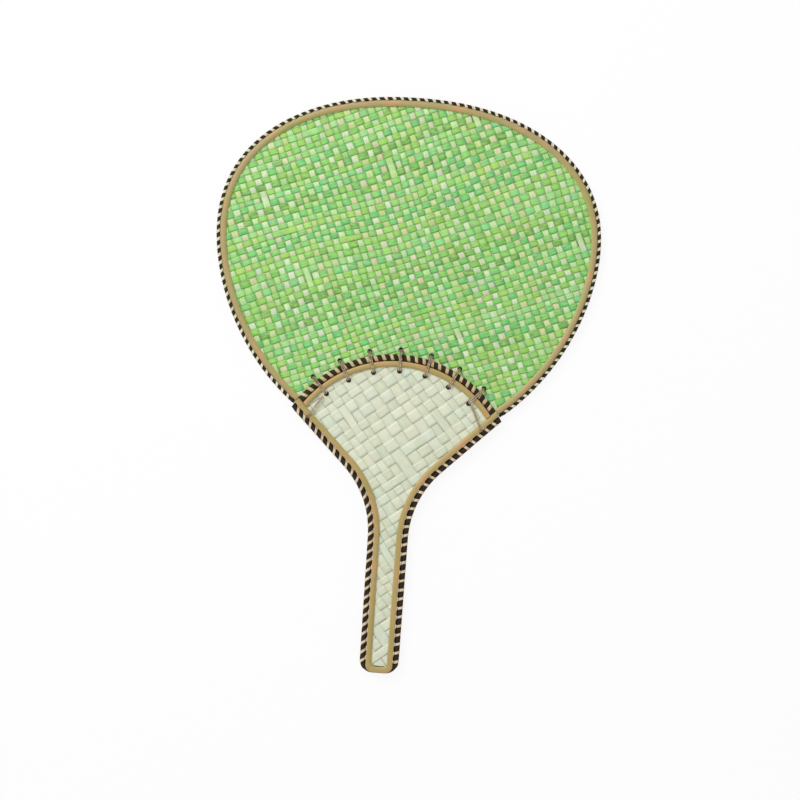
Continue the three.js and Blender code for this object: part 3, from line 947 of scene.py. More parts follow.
class Finishes:
    """Every finish of the fan, built once."""

    def __init__(self, hub: Vector) -> None:
        """Build the shared groups and the materials.

        Args:
            hub: Centre of the handle's round edge, in metres.
        """
        effects = Effects(split_fibre_group(), pierced_group(), hub)
        self.weave = StripFinish(
            name="dyed_weave",
            slot="weave",
            roughness=0.5,
            fibres=Fibres(12.0, 1.2),
            streak=Tinge(srgb(156, 204, 84), (0.5, 0.64), (0.0, 0.6)),
            # Painted shade along the strips' edges.
            edge=Tinge(srgb(104, 142, 66), (0.36, 0.5), (0.0, 0.5)),
            relief=(0.4, 0.15),
        ).coat(effects)
        self.plait = StripFinish(
            name="pale_plait",
            slot="plait",
            roughness=0.45,
            fibres=Fibres(14.0, 0.16),
            streak=Tinge(srgb(224, 228, 206), (0.5, 0.64), (0.0, 0.3)),
            # Painted shade along the strips' edges.
            edge=Tinge(srgb(164, 168, 138), (0.45, 0.5), (0.0, 0.3)),
            relief=(0.3, 0.15),
        ).coat(effects)
        self.rim_bamboo, self.handle_bamboo = (
            BambooFinish(name, outer, inner).coat(effects)
            for name, outer, inner in (
                ("rim_bamboo", srgb(168, 146, 98), srgb(166, 153, 92)),
                ("handle_bamboo", srgb(176, 150, 92), srgb(168, 147, 82)),
            )
        )
        self.rim_thread, self.arc_thread, self.side_thread = (
            StrandFinish(name, "thread", light, dark).coat(effects)
            for name, light, dark in (
                ("rim_thread", srgb(232, 224, 200), srgb(200, 188, 156)),
                ("arc_thread", srgb(210, 188, 146), srgb(184, 160, 114)),
                ("side_thread", srgb(226, 208, 176), srgb(198, 174, 134)),
            )
        )
        self.cord = StrandFinish(
            name="dark_cord",
            slot="dark_cord",
            light=srgb(54, 42, 26),
            dark=srgb(20, 14, 8),
            roughness=0.7,
            relief=0.8,
            twist=900.0,
            specular=0.2,
        ).coat(effects)
        self.tie = StrandFinish(
            name="waxed_tie",
            slot="waxed_tie",
            light=srgb(190, 170, 136),
            dark=srgb(118, 98, 70),
            roughness=0.4,
            relief=0.6,
            twist=260.0,
        ).coat(effects)
        self.core = CoreFinish().material()


# Woven sheets


class Draw(Enum):
    """What a random draw settles, each with the steps that keep its seeds apart."""

    STRIP_DYE = (977, 13)
    CELL_DYE = (5741, 29)
    CELL_MOOD = (7919, 17)
    SLIP = (4099, 31)

    def chance(self, first: int, second: int, seed: int = 0) -> random.Random:
        """Random numbers that belong to a pair of counts."""
        return random.Random(first * self.value[0] + second * self.value[1] + seed)


class Family(Choice):
    """The two directions of strips in a woven sheet."""

    ROWS = 0
    COLUMNS = 1


@dataclass(frozen=True)
class StripSet:
    """One direction of strips: its angle off the fan's X, pitch and colours."""

    angle: float
    pitch: float
    dyes: tuple[tuple[Colour, float], ...]
    jitter: float = 0.14
    cover: float = 1.0

    @property
    def across(self) -> Vector:
        """Direction from one strip to the next."""
        angle = math.radians(self.angle)
        return Vector((-math.sin(angle), math.cos(angle)))

    def edges(self, reach: float, seed: int) -> list[float]:
        """Part a sheet among its strips.

        Args:
            reach: How far the sheet goes either way.
            seed: Which small differences the strips have.

        Returns:
            The lines between neighbouring strips.
        """
        chance = random.Random(seed)
        edges = [-reach]
        while edges[-1] < reach:
            edges.append(edges[-1] + self.pitch * (1 + chance.uniform(-1, 1) * self.jitter))
        return edges

    def dye(self, chance: random.Random) -> Colour:
        """Pick one of the dyes."""
        colours, weights = zip(*self.dyes)
        return chance.choices(colours, weights)[0]


@dataclass(frozen=True)
class Shape:
    """What a sheet is cut to: a test for its points, and a way back to it for others."""

    holds: Callable[[Vector], bool]
    settle: Callable[[Vector], Vector]


@dataclass(frozen=True)
class WovenSheet:
    """Two sets of flat strips that pass over and under each other."""

    rows: StripSet
    columns: StripSet
    middle: Vector
    reach: float
    lift: float
    gap: float
    float_share: float
    cell_blend: float
    cell_drift: float
    # Painted highlight on the top of each crossing: its colour and its strength.
    crown_highlight: Colour
    highlight_share: float
    dip_shade: float
    seed: int
    stations: int
    height: float = 0.0
    thickness: float = 0.3
    lanes: int = 4
    slope: float = 0.3
    droop: float = 0.35
    wander: float = 1.6
    wander_run: float = 70.0
    ragged: float = 0.2
    ragged_run: float = 9.0
    strip_apart: float = 3.7
    strip_shift: float = 0.37

    def crossing(self, across_rows: float, across_columns: float) -> Vector:
        """Find a point, waved a little as the strips are.

        Args:
            across_rows: Its distance across the rows.
            across_columns: Its distance across the columns.

        Returns:
            The point.
        """
        first, second = self.rows.across, self.columns.across
        share = first.cross(second)
        x = (across_rows * second.y - across_columns * first.y) / share
        y = (across_columns * first.x - across_rows * second.x) / share
        point = self.middle + Vector((x, y))
        place = (point.x / self.wander_run, point.y / self.wander_run)
        return point + self.wander * Vector((drift(*place, 1.0), drift(*place, 2.0)))

    def level(self, family: Family, strip: int, other: int) -> int:
        """Tell where a strip passes another, with a slip of the weave now and then.

        Args:
            family: The strip's family.
            strip: Number of the strip.
            other: Number of the strip that it crosses.

        Returns:
            1 over the other, -1 under it.
        """
        row, column = (strip, other) if family is Family.ROWS else (other, strip)
        slip = Draw.SLIP.chance(row, column, self.seed).random() < self.float_share
        row_over = ((row + column) % 2 == 0) != slip
        return 1 if row_over == (family is Family.ROWS) else -1

    def wave(self, family: Family, strip: int, other: int, share: float) -> float:
        """Measure the height of a strip on its way across another.

        Args:
            family: The strip's family.
            strip: Number of the strip.
            other: Number of the strip that it crosses.
            share: Share of the way across it.

        Returns:
            The height from -1 to 1.
        """
        here = self.level(family, strip, other)
        to_end = min(share, 1 - share)
        if to_end >= self.slope:
            return here
        after = self.level(family, strip, other + (1 if share > 0.5 else -1))
        return here + (after - here) * (0.5 - 0.5 * smooth(to_end / self.slope))

    def shades(self, strips: StripSet, strip: int, count: int) -> list[tuple[Colour, Colour]]:
        """Colour a strip at each crossing, in general and with a painted highlight on its middle.

        Args:
            strips: The strip's set.
            strip: Number of the strip.
            count: How many strips it crosses.

        Returns:
            The two colours at each crossing.
        """
        own = strips.dye(Draw.STRIP_DYE.chance(self.seed, strip))
        shades = []
        for other in range(count):
            chance = Draw.CELL_MOOD.chance(strip, other, self.seed)
            local = strips.dye(Draw.CELL_DYE.chance(strip, other, self.seed))
            colour = blend(own, local, self.cell_blend * chance.random())
            mood = 1 + self.cell_drift * chance.uniform(-1, 1)
            colour = tuple(channel * mood for channel in colour)
            # The second colour holds the painted highlight.
            shades.append((colour, blend(colour, self.crown_highlight, self.highlight_share * chance.uniform(0.4, 1.0))))
        return shades

    def build(self, bench: Bench, family: Family, shape: Shape) -> bmesh.types.BMesh:
        """Make every strip of one family.

        Args:
            bench: Where meshes are made.
            family: Rows or columns.
            shape: What the sheet is cut to.

        Returns:
            The strips as open sheets, to be given their thickness.
        """
        strips, others = self.rows, self.columns
        if family is Family.COLUMNS:
            strips, others = others, strips
        own = strips.edges(self.reach, self.seed + family.value)
        cross = others.edges(self.reach, self.seed + 1 - family.value)
        bm = bmesh.new()
        uv = uv_layer(bm)
        tint = bm.verts.layers.float_color.new(TINT_NAME)
        for index, (low, high) in enumerate(zip(own, own[1:])):
            shades = self.shades(strips, index, len(cross) - 1)
            spare = self.gap / 2 + (high - low) * (1 - strips.cover) / 2
            places = {}
            spots = bench.sheet(bm, (len(cross) - 1) * self.stations, self.lanes)
            for vert, (i, j) in spots.items():
                other = min(i // self.stations, len(cross) - 2)
                share = (i - other * self.stations) / self.stations
                across = cross[other] + (cross[other + 1] - cross[other]) * share
                lane = j / self.lanes
                ragged = drift(across / self.ragged_run, index * self.strip_apart, self.seed)
                offset = low + spare + self.ragged * ragged + (high - low - 2 * spare) * lane
                pair = (offset, across) if family is Family.ROWS else (across, offset)
                point = places[vert] = self.crossing(*pair)
                level = self.wave(family, index, other, share)
                edge = (2 * lane - 1) ** 2
                rise = level * self.lift - self.droop * self.thickness * edge
                vert.co = (point.x, point.y, self.height + rise)
                # Painted highlight on the crown of each crossing, and painted shade where the
                # strip dips under.
                crown = max(level, 0.0) * (1 - edge) * (1 - abs(2 * share - 1))
                dip = 1 - self.dip_shade * (1 - level) / 2
                vert[tint] = (*[channel * dip for channel in blend(*shades[other], crown)], 1.0)
                for loop in vert.link_loops:
                    loop[uv].uv = (across * MM + index * self.strip_shift, lane)
            self.trim(bm, places, shape)
        for vert in bm.verts:
            vert.co = bench.place(vert.co)
        return bm

    @staticmethod
    def trim(bm: bmesh.types.BMesh, places: dict, shape: Shape) -> None:
        """Take away what lies past the sheet's edge and settle the rest on it.

        Args:
            bm: The sheet.
            places: Where each of a strip's vertices lies.
            shape: What the sheet is cut to.
        """
        kept = {vert: shape.holds(point) for vert, point in places.items()}
        faces = dict.fromkeys(face for vert in places for face in vert.link_faces)
        gone = [face for face in faces if not any(kept[vert] for vert in face.verts)]
        bmesh.ops.delete(bm, geom=gone, context="FACES")
        for vert, inside in kept.items():
            if vert.is_valid and not inside:
                vert.co.xy = shape.settle(places[vert])

    def lay(self, bench: Bench, names: str, coat: Coat, node: str, shape: Shape) -> None:
        """Make a piece of the rows and one of the columns.

        Args:
            bench: Where meshes are made.
            names: Name of the pieces, with {} for the family.
            coat: Their finish.
            node: Node that they replace.
            shape: What the sheet is cut to.
        """
        for family in Family:
            bm = self.build(bench, family, shape)
            piece = bench.piece(names.format(family.word), bm, coat, node)
            wall = piece.modifiers.new("thickness", "SOLIDIFY")
            wall.thickness = self.thickness * MM
            wall.offset = 0.0


# Edging


def trim_pair(bench: Bench, bm: bmesh.types.BMesh, point: Vector, along: Vector) -> None:
    """Cut both ends of a strip or cord along a line and its mirror image.

    Args:
        bench: Where meshes are made.
        bm: The strip or cord.
        point: A point on the line at the right-hand end.
        along: The line's direction, what lies to its right being cut away.
    """
    reach = END_SHARE * point.x * MM
    for turn in (1, -1):
        verts = [vert for vert in bm.verts if vert.co.x * turn > reach]
        near = set(verts)
        edges = [edge for edge in bm.edges if near.issuperset(edge.verts)]
        faces = [face for face in bm.faces if near.issuperset(face.verts)]
        cut = bmesh.ops.bisect_plane(
            bm,
            geom=verts + edges + faces,
            plane_co=bench.place(Vector((point.x * turn, point.y, 0.0))),
            plane_no=Vector((along.y * turn, -along.x, 0.0)),
            clear_outer=True,
        )
        rims = [item for item in cut["geom_cut"] if isinstance(item, bmesh.types.BMEdge)]
        bmesh.ops.edgeloop_fill(bm, edges=rims)


def oval(
    spot: Vector, side: Vector, up: Vector, angles: list[float], power: float = 1.0
) -> list[Vector]:
    """Draw a ring about a place.

    Args:
        spot: The ring's middle.
        side: Its reach to the side.
        up: Its reach upwards.
        angles: Where its points are.
        power: Below 1 its sides are flatter.

    Returns:
        The ring's points.
    """
    return [spot + side * rounded(math.cos(a), power) + up * math.sin(a) for a in angles]


@dataclass(frozen=True)
class Overcast:
    """A flat thread that turns round a cord along a route, again and again."""

    pitch: float
    width: float
    thickness: float
    lane: float
    reach: float
    top: float
    slant: float = 0.3
    skip_first: int = 0
    skip_last: int = 0
    steps: int = 16
    sides: int = 8
    lean: float = 0.04
    turn_power: float = 0.62
    ring_power: float = 0.7
    uneven: Ripple = Ripple(0.07, 9.0, 4.0)

    def starts(self, low: float, high: float) -> list[float]:
        """Set stitches evenly about the middle of a stretch.

        Args:
            low: Where the stretch starts.
            high: Where it ends.

        Returns:
            Where the stitches start.
        """
        count = math.floor((high - low) / self.pitch - self.slant)
        slack = (high - low - (count - 1 + self.slant) * self.pitch) / 2
        numbers = range(self.skip_first, count - self.skip_last)
        return [low + slack + i * self.pitch for i in numbers]

    def knots(self, span: Span, lead: float = 0.0) -> list[Span]:
        """Find where each stitch of a stretch passes the cord's inner and outer edge.

        Args:
            span: Where the stretch starts and ends on its route.
            lead: How much further on these places are on the cord's route.

        Returns:
            The pairs of lengths on the cord's route.
        """
        across = self.slant * self.pitch
        return [(start + lead, start + across + lead) for start in self.starts(*span)]

    def spot(self, route: Route, start: float, turn: float, chance: float) -> Line:
        """Place the thread a share of a turn on from a stitch's start.

        Args:
            route: What it is sewn along.
            start: Where the stitch starts on the route.
            turn: Share of the turn, 0 where it rises beside the cord.
            chance: The stitch's own lean, from -1 to 1.

        Returns:
            The thread's middle, and the direction away from the cord.
        """
        slant = self.slant + self.lean * chance
        ahead = slant * smooth(2 * turn)
        if turn >= 0.5:
            ahead = slant + (1 - slant) * smooth(2 * turn - 1)
        stand = route.stand(start + ahead * self.pitch)
        across = rounded(math.cos(2 * math.pi * turn), self.turn_power)
        rise = rounded(math.sin(2 * math.pi * turn), self.turn_power)
        middle, half = (self.lane - self.reach) / 2, (self.lane + self.reach) / 2
        flat = stand.outward * -(across / half)
        away = Vector((flat.x, flat.y, rise / self.top)).normalized()
        return stand.inside(middle + half * across, self.top * rise), away

    def thread(self, bench: Bench, route: Route, span: Span, seed: int) -> bmesh.types.BMesh:
        """Sew a stretch of a route.

        Args:
            bench: Where meshes are made.
            route: What it is sewn along.
            span: Where the stretch starts and ends on the route.
            seed: Which small irregularities it has.

        Returns:
            The thread.
        """
        chance = random.Random(seed)
        spots = []
        starts = self.starts(*span)
        for start in starts:
            lean = chance.uniform(-1, 1)
            first = -self.steps // 8 if start == starts[0] else 0
            last = self.steps * 3 // 4 if start == starts[-1] else self.steps
            turns = (step / self.steps for step in range(first, last))
            spots += [self.spot(route, start, turn, lean) for turn in turns]
        angles = [2 * math.pi * (j + 0.5) / self.sides for j in range(self.sides)]
        rings = []
        for i, (spot, away) in enumerate(spots):
            run = (spots[min(i + 1, len(spots) - 1)][0] - spots[max(i - 1, 0)][0]).normalized()
            side = away.cross(run).normalized()
            half = self.width * (1 + self.uneven.at(i, seed)) / 2
            up = run.cross(side) * (self.thickness / 2)
            rings.append(oval(spot, side * half, up, angles, self.ring_power))
        bm = bmesh.new()
        bench.roll(bm, rings)
        return bm


@dataclass(frozen=True)
class Cord:
    """A dark cord that lies along a route, oval in section and fuller between stitches."""

    width: float
    height: float
    middle: float = 0.0
    fill: float = 0.78
    fill_start: float = 0.6
    fill_run: float = 0.7
    fill_power: float = 0.6
    bulge: float = 0.28
    bulge_start: float = 0.5
    bulge_run: float = 1.7
    bulge_rise: float = 0.7
    slack: float = 0.2
    free_run: float = 5.0
    spacing: float = 0.9
    power: float = 0.8
    sides: int = 12

    def lay(self, bench: Bench, route: Route, knots: list[Span]) -> bmesh.types.BMesh:
        """Lay the cord along a route.

        Args:
            bench: Where meshes are made.
            route: What it lies along.
            knots: Lengths along the route at which a stitch passes its inner and outer edge.

        Returns:
            The cord.
        """
        rings = []
        stands = route.stands(self.spacing)
        for i, stand in enumerate(stands):
            length = route.length * i / (len(stands) - 1)
            inner_apart, outer_apart = (
                min(abs(length - knot[edge]) for knot in knots) for edge in range(2)
            )
            inner = self.fill * smooth((inner_apart - self.fill_start) / self.fill_run)
            outer = self.bulge * smooth((outer_apart - self.bulge_start) / self.bulge_run)
            if outer_apart >= self.free_run:
                outer = 0.0
            half_height = self.height / 2 - self.slack + self.bulge_rise * outer
            ring = []
            for j in range(self.sides):
                angle = 2 * math.pi * j / self.sides
                cos = math.cos(angle)
                across = rounded(cos, self.power) * self.width / 2
                if across > 0:
                    across += inner * cos**self.fill_power
                elif across < 0:
                    across -= outer
                rise = rounded(math.sin(angle), self.power) * half_height
                ring.append(stand.inside(self.width / 2 + across, self.middle + rise))
            rings.append(ring)
        bm = bmesh.new()
        bench.roll(bm, rings)
        return bm


@dataclass(frozen=True)
class BambooStrip:
    """A bent bamboo strip with a flat back and a gently domed face."""

    inset: float
    width: float
    base: float
    thickness: float
    waver: Ripple = Ripple(0.08, 12.0, 6.0)
    thinning: Ripple = Ripple(0.04, 9.0, 7.0)
    pattern_step: float = 700.0
    face_step: float = 0.3
    dome: tuple[Span, ...] = (
        (0.0, 0.0),
        (0.0, 0.5),
        (0.05, 0.76),
        (0.14, 0.92),
        (0.3, 1.0),
        (0.48, 1.0),
        (0.64, 0.96),
        (0.78, 0.84),
        (0.9, 0.62),
        (0.98, 0.32),
        (1.0, 0.0),
    )

    def lay(
        self,
        bench: Bench,
        stands: list[Stand],
        face: Face,
        number: int,
        extra: list[float] | None = None,
    ) -> bmesh.types.BMesh:
        """Lay the strip along a row of places.

        Args:
            bench: Where meshes are made.
            stands: Places along it.
            face: The fan's face that it lies on.
            number: Which strip of the face it is, for its small irregularities.
            extra: How much wider the strip is at each place, or None where it isn't.

        Returns:
            The strip.
        """
        seed = number + face.value * self.face_step
        rings = []
        for i, stand in enumerate(stands):
            waver = self.waver.at(i, seed)
            swell = 1 - abs(self.thinning.at(i, seed))
            width = self.width + (extra[i] if extra else 0.0)
            ring = []
            for share, rise in self.dome:
                inset = self.inset + width * share + waver * (0.5 - abs(share - 0.5)) * 2
                height = self.base + self.thickness * rise * swell
                ring.append(stand.inside(inset, face.value * height))
            rings.append(ring)
        bm = bmesh.new()
        bench.roll(bm, rings, self.pattern_step * seed)
        return bm


@dataclass(frozen=True)
class Lacing:
    """Waxed ties through holes in the blade and the handle."""

    count: int = 7
    spacing: float = 14.1
    outer: float = 88.6
    inner: float = 73.6
    base: float = 3.9
    width: float = 2.0
    thickness: float = 1.0
    corner_radius: float = 1.0
    corner_steps: int = 6
    spot_spacing: float = 1.2
    sides: int = 8
    strands: int = 2
    parting: float = 0.25
    sway: float = 0.1
    strand_phase: float = 2.1
    sunk: float = 0.35
    corner_width: float = 1.6
    corner_thickness: float = 0.5
    corner_step: float = 2.65
    corner_seed: int = 9

    def loop(self, first: Vector, second: Vector, thickness: float) -> list[Line]:
        """Draw the middle line of a tie.

        Args:
            first: The place that it passes through at one end.
            second: The place that it passes through at the other.
            thickness: The tie's thickness.

        Returns:
            Points of the line, each with the direction away from the fan.
        """
        along = (second - first).normalized()
        reach = (second - first).length / 2 - self.corner_radius
        rise = self.base + thickness / 2 - self.corner_radius
        middle = (first + second) / 2
        spots = []
        for ahead, up, start in ((1, 1, 90), (1, -1, 0), (-1, -1, -90), (-1, 1, 180)):
            hub = Vector((*(middle + along * (ahead * reach)), up * rise))
            for step in range(self.corner_steps + 1):
                angle = math.radians(start - 90 * step / self.corner_steps)
                away = Vector((*(along * math.cos(angle)), math.sin(angle)))
                spots.append((hub + away * self.corner_radius, away))
        dense = []
        for (spot, away), (after, away_after) in zip(spots, spots[1:] + spots[:1]):
            parts = max(1, round((after - spot).length / self.spot_spacing))
            for share in (part / parts for part in range(parts)):
                dense.append((spot.lerp(after, share), away.lerp(away_after, share).normalized()))
        return dense

    def tie(self, bench: Bench, ends: Line, size: Span, seed: int) -> bmesh.types.BMesh:
        """Lay the strands of one tie side by side.

        Args:
            bench: Where meshes are made.
            ends: The two places that it passes through.
            size: Its width and thickness.
            seed: Which small irregularities it has.

        Returns:
            The tie.
        """
        width, thickness = size
        spots = self.loop(*ends, thickness)
        strand_width = width / (self.strands + (self.strands - 1) * self.parting)
        run = (ends[1] - ends[0]).normalized()
        side = Vector((-run.y, run.x, 0.0))
        angles = [2 * math.pi * j / self.sides for j in range(self.sides)]
        bm = bmesh.new()
        for strand in range(self.strands):
            offset = (strand - (self.strands - 1) / 2) * strand_width * (1 + self.parting)
            rings = []
            for i, (spot, away) in enumerate(spots):
                phase = 4 * math.pi * i / len(spots) + self.strand_phase * strand + seed
                middle = spot + side * (offset + self.sway * math.sin(phase))
                reach = (side * (strand_width / 2), away * (thickness / 2))
                rings.append(oval(middle, *reach, angles))
            bench.roll(bm, rings, closed=True)
        return bm


# Sub-assemblies


@dataclass
class Blade:
    """The woven blade with its edging."""

    bench: Bench
    finishes: Finishes
    outline: BladeOutline
    handle: HandleOutline
    sewn_radius: float = 86.7
    rim_radius: float = 85.55
    sheet_inset: float = 2.1
    strip: BambooStrip = BambooStrip(2.5, 4.0, 0.7, 1.5)
    strip_spacing: float = 2.0
    cord: Cord = Cord(2.0, 1.5, fill=0.4)
    whipping: Overcast = Overcast(5.6, 2.05, 0.3, 2.15, 0.1, 0.95)
    whipping_seed: int = 21
    cut: float = 0.85
    rim_steps: int = 700
    halvings: int = 40

    def rim(self, radius: float) -> Route:
        """Draw the way round the rim, from one side of the handle to the other.

        Args:
            radius: Where it stops, as a distance from the centre of the handle's round edge.

        Returns:
            The route, from the right side over the top to the left.
        """
        low, high = -math.pi / 2, 0.0
        for _ in range(self.halvings):
            middle = (low + high) / 2
            if (self.outline.spot(middle) - self.handle.arc_centre).length < radius:
                low = middle
            else:
                high = middle
        sweep = math.pi - 2 * low
        angles = [low + sweep * i / self.rim_steps for i in range(self.rim_steps + 1)]
        return Route(self.outline.spot(angle) for angle in angles)

    def sheet(self) -> WovenSheet:
        """Choose the blade's weave.

        Returns:
            The sheet.
        """
        greens = dyes(
            (122, 198, 94, 3.0),
            (98, 192, 108, 2.2),
            (140, 201, 90, 2.2),
            (118, 205, 132, 1.4),
            (160, 206, 100, 1.2),
            (106, 164, 74, 1.6),
            (154, 213, 136, 1.4),
        )
        creams = dyes(
            (207, 204, 158, 1.5),
            (214, 202, 166, 0.9),
            (204, 219, 186, 1.6),
            (192, 222, 168, 2.6),
            (177, 215, 146, 2.0),
            (152, 205, 120, 1.3),
            (188, 205, 136, 1.3),
        )
        return WovenSheet(
            rows=StripSet(21.6, 4.42, greens),
            columns=StripSet(113.8, 5.45, creams, cover=0.86),
            middle=Vector((0.0, -20.0)),
            reach=150.0,
            lift=0.34,
            gap=0.05,
            float_share=0.008,
            cell_blend=0.65,
            cell_drift=0.12,
            # Painted highlight on the crowns of the crossings.
            crown_highlight=srgb(206, 230, 172),
            highlight_share=0.25,
            dip_shade=0.26,
            seed=11,
            stations=4,
        )

    def keeps(self, point: Vector) -> bool:
        """Whether a point belongs to the sheet, tail and all."""
        return self.outline.holds(point, self.sheet_inset) and point.y >= -self.outline.tail

    def settles(self, point: Vector) -> Vector:
        """A point past the sheet's edge brought back to it, but not from below its tail."""
        past_tail = point.y < -self.outline.tail
        return point if past_tail else self.outline.onto(point, self.sheet_inset)

    def build(self) -> None:
        """Make the blade's pieces."""
        bench, finishes = self.bench, self.finishes
        shape = Shape(self.keeps, self.settles)
        self.sheet().lay(bench, "weave_{}", finishes.weave, "blade_panel", shape)
        rim = self.rim(self.rim_radius - self.strip.width)
        end = self.rim(self.rim_radius).points[0]
        cut = (end, -self.handle.tangent(end))
        stands = rim.stands(self.strip_spacing)
        for face in Face:
            bm = self.strip.lay(bench, stands, face, 1)
            trim_pair(bench, bm, *cut)
            node = f"blade_rim_strip_{face.word}"
            bench.piece(f"rim_bamboo_{face.word}", bm, finishes.rim_bamboo, node, CREASE)
        sewn = self.rim(self.sewn_radius)
        span = (self.cut, sewn.length - self.cut)
        bm = self.cord.lay(bench, rim, self.whipping.knots(span, (rim.length - sewn.length) / 2))
        trim_pair(bench, bm, *cut)
        bench.piece("rim_cord", bm, finishes.cord, "blade_edge_cord")
        bm = self.whipping.thread(bench, sewn, span, self.whipping_seed)
        bench.piece("rim_whipping", bm, finishes.rim_thread, "blade_whipping")


@dataclass
class Handle:
    """The plaited handle with its edging."""

    bench: Bench
    finishes: Finishes
    outline: HandleOutline
    core: bpy.types.Object
    strip_width: float = 4.0
    strip_thickness: float = 1.55
    strip_base: float = 2.05
    side_strip_inset: float = 3.9
    side_strip_spacing: float = 0.7
    arc_strip_inset: float = 4.5
    arc_strip_spacing: float = 1.6
    end_cord_show: float = 0.5
    end_whipped: float = 5.6
    end_reach: float = 0.2
    inner_radius: float = 3.4
    clearance: float = 0.3
    leaf_middle: float = 1.45
    leaf_under: float = 0.3
    leaf_steps: int = 40
    side_cord: Cord = Cord(3.1, 4.0)
    arc_cord: Cord = Cord(3.7, 2.0)
    arc_cord_middle: float = 1.7
    arc_margin: float = 6.0
    side_whipping: Overcast = Overcast(6.3, 1.9, 0.4, 3.45, 0.2, 2.3)
    left_slant: float = 0.55
    right_slant: float = 0.25
    corner_tie_lap: float = 0.1
    arc_whipping: Overcast = Overcast(5.8, 2.4, 0.4, 4.05, 0.25, 2.8)
    arc_seed: int = 22
    side_seeds: tuple[int, int] = (23, 24)

    def plait(self, face: Face) -> WovenSheet:
        """Choose the plaited leaf of one face.

        Args:
            face: The face.

        Returns:
            The sheet.
        """
        pales = dyes(
            (211, 216, 190, 4.0),
            (217, 221, 197, 2.0),
            (206, 212, 186, 2.0),
            (218, 217, 192, 1.0),
            (208, 218, 198, 0.8),
            (203, 208, 180, 1.0),
        )
        return WovenSheet(
            rows=StripSet(37.0, 7.0, pales, 0.2),
            columns=StripSet(129.0, 7.0, pales, 0.2),
            middle=Vector((0.0, -180.0)),
            reach=165.0,
            lift=0.24,
            gap=0.12,
            float_share=0.07,
            cell_blend=0.8,
            cell_drift=0.03,
            # Painted highlight on the crowns of the crossings.
            crown_highlight=srgb(224, 228, 204),
            highlight_share=0.15,
            dip_shade=0.05,
            seed=31 if face is Face.FRONT else 47,
            stations=6,
            height=face.value * self.leaf_middle,
        )

    def leaf_corners(self) -> list[Vector]:
        """Draw the leaf's outline, a little under the strips.

        Returns:
            Its corners.
        """
        under = self.leaf_under * self.strip_width
        inset = self.side_strip_inset + under
        radius = self.outline.arc_radius - self.arc_strip_inset - under
        sides = self.outline.sides(inset, inset, self.outline.end_radius - inset, radius)
        return sides.points + self.outline.arc(radius, inset, self.leaf_steps).points[1:-1]

    def tip_cut(self, inset: float) -> Line:
        """Line along the round edge that ends what runs up the right flank at an inset."""
        end = self.outline.tip(inset, self.outline.arc_radius + self.end_reach)
        return end, self.outline.tangent(end)

    def beside_strip(self, gap: float) -> Line:
        """Line along the inner edge of the right side strip, a gap away from it."""
        return self.outline.lines(self.side_strip_inset + self.strip_width + gap, 0.0)[0]

    def build(self) -> None:
        """Make the handle's pieces."""
        corners = self.leaf_corners()
        shape = Shape(partial(surrounds, corners), partial(nearest, corners))
        for face in Face:
            names, node = f"plait_{{}}_{face.word}", f"handle_leaf_{face.word}"
            self.plait(face).lay(self.bench, names, self.finishes.plait, node, shape)
            self.build_strips(face)
        self.build_cords()
        self.core.material_slots[0].material = self.finishes.core

    def build_strips(self, face: Face) -> None:
        """Make the bamboo strips of one face.

        Args:
            face: The face.
        """
        bench, outline = self.bench, self.outline
        bend = outline.end_radius - self.side_strip_inset
        top = outline.arc_radius + self.strip_width
        route = outline.sides(self.side_strip_inset, self.end_cord_show, bend, top)
        side = BambooStrip(0.0, self.strip_width, self.strip_base, self.strip_thickness)
        stands = route.stands(self.side_strip_spacing)
        steps = len(stands) - 1
        extra = [self.corner_fill(route, route.length * i / steps) for i in range(steps + 1)]
        arc = replace(side, inset=self.arc_strip_inset)
        arc_stands = outline.arc(outline.arc_radius).stands(self.arc_strip_spacing)
        middle = self.side_strip_inset + self.strip_width / 2
        for edge, bm, cut in (
            ("side", side.lay(bench, stands, face, 2, extra), self.tip_cut(middle)),
            ("arc", arc.lay(bench, arc_stands, face, 3), self.beside_strip(self.clearance / 2)),
        ):
            trim_pair(bench, bm, *cut)
            name, node = f"{edge}_bamboo_{face.word}", f"{edge}_strip_{face.word}"
            bench.piece(name, bm, self.finishes.handle_bamboo, node, CREASE)

    def corner_fill(self, route: Route, length: float) -> float:
        """Measure how much wider a side strip is, to round the grip's inner corners.

        Args:
            route: The strip's outer edge, its two halves alike.
            length: Length along it.

        Returns:
            The width to add.
        """
        sharp = self.outline.end_radius - self.side_strip_inset - self.strip_width
        half = len(route.points) // 2
        first, last = route.lengths[half - 1 - self.outline.bend_steps], route.lengths[half - 1]
        from_top = min(length, route.length - length)
        apart = max(first - from_top, from_top - last, 0.0)
        run = max(self.inner_radius - sharp - apart, 0.0)
        return self.inner_radius - math.sqrt(self.inner_radius**2 - run**2)

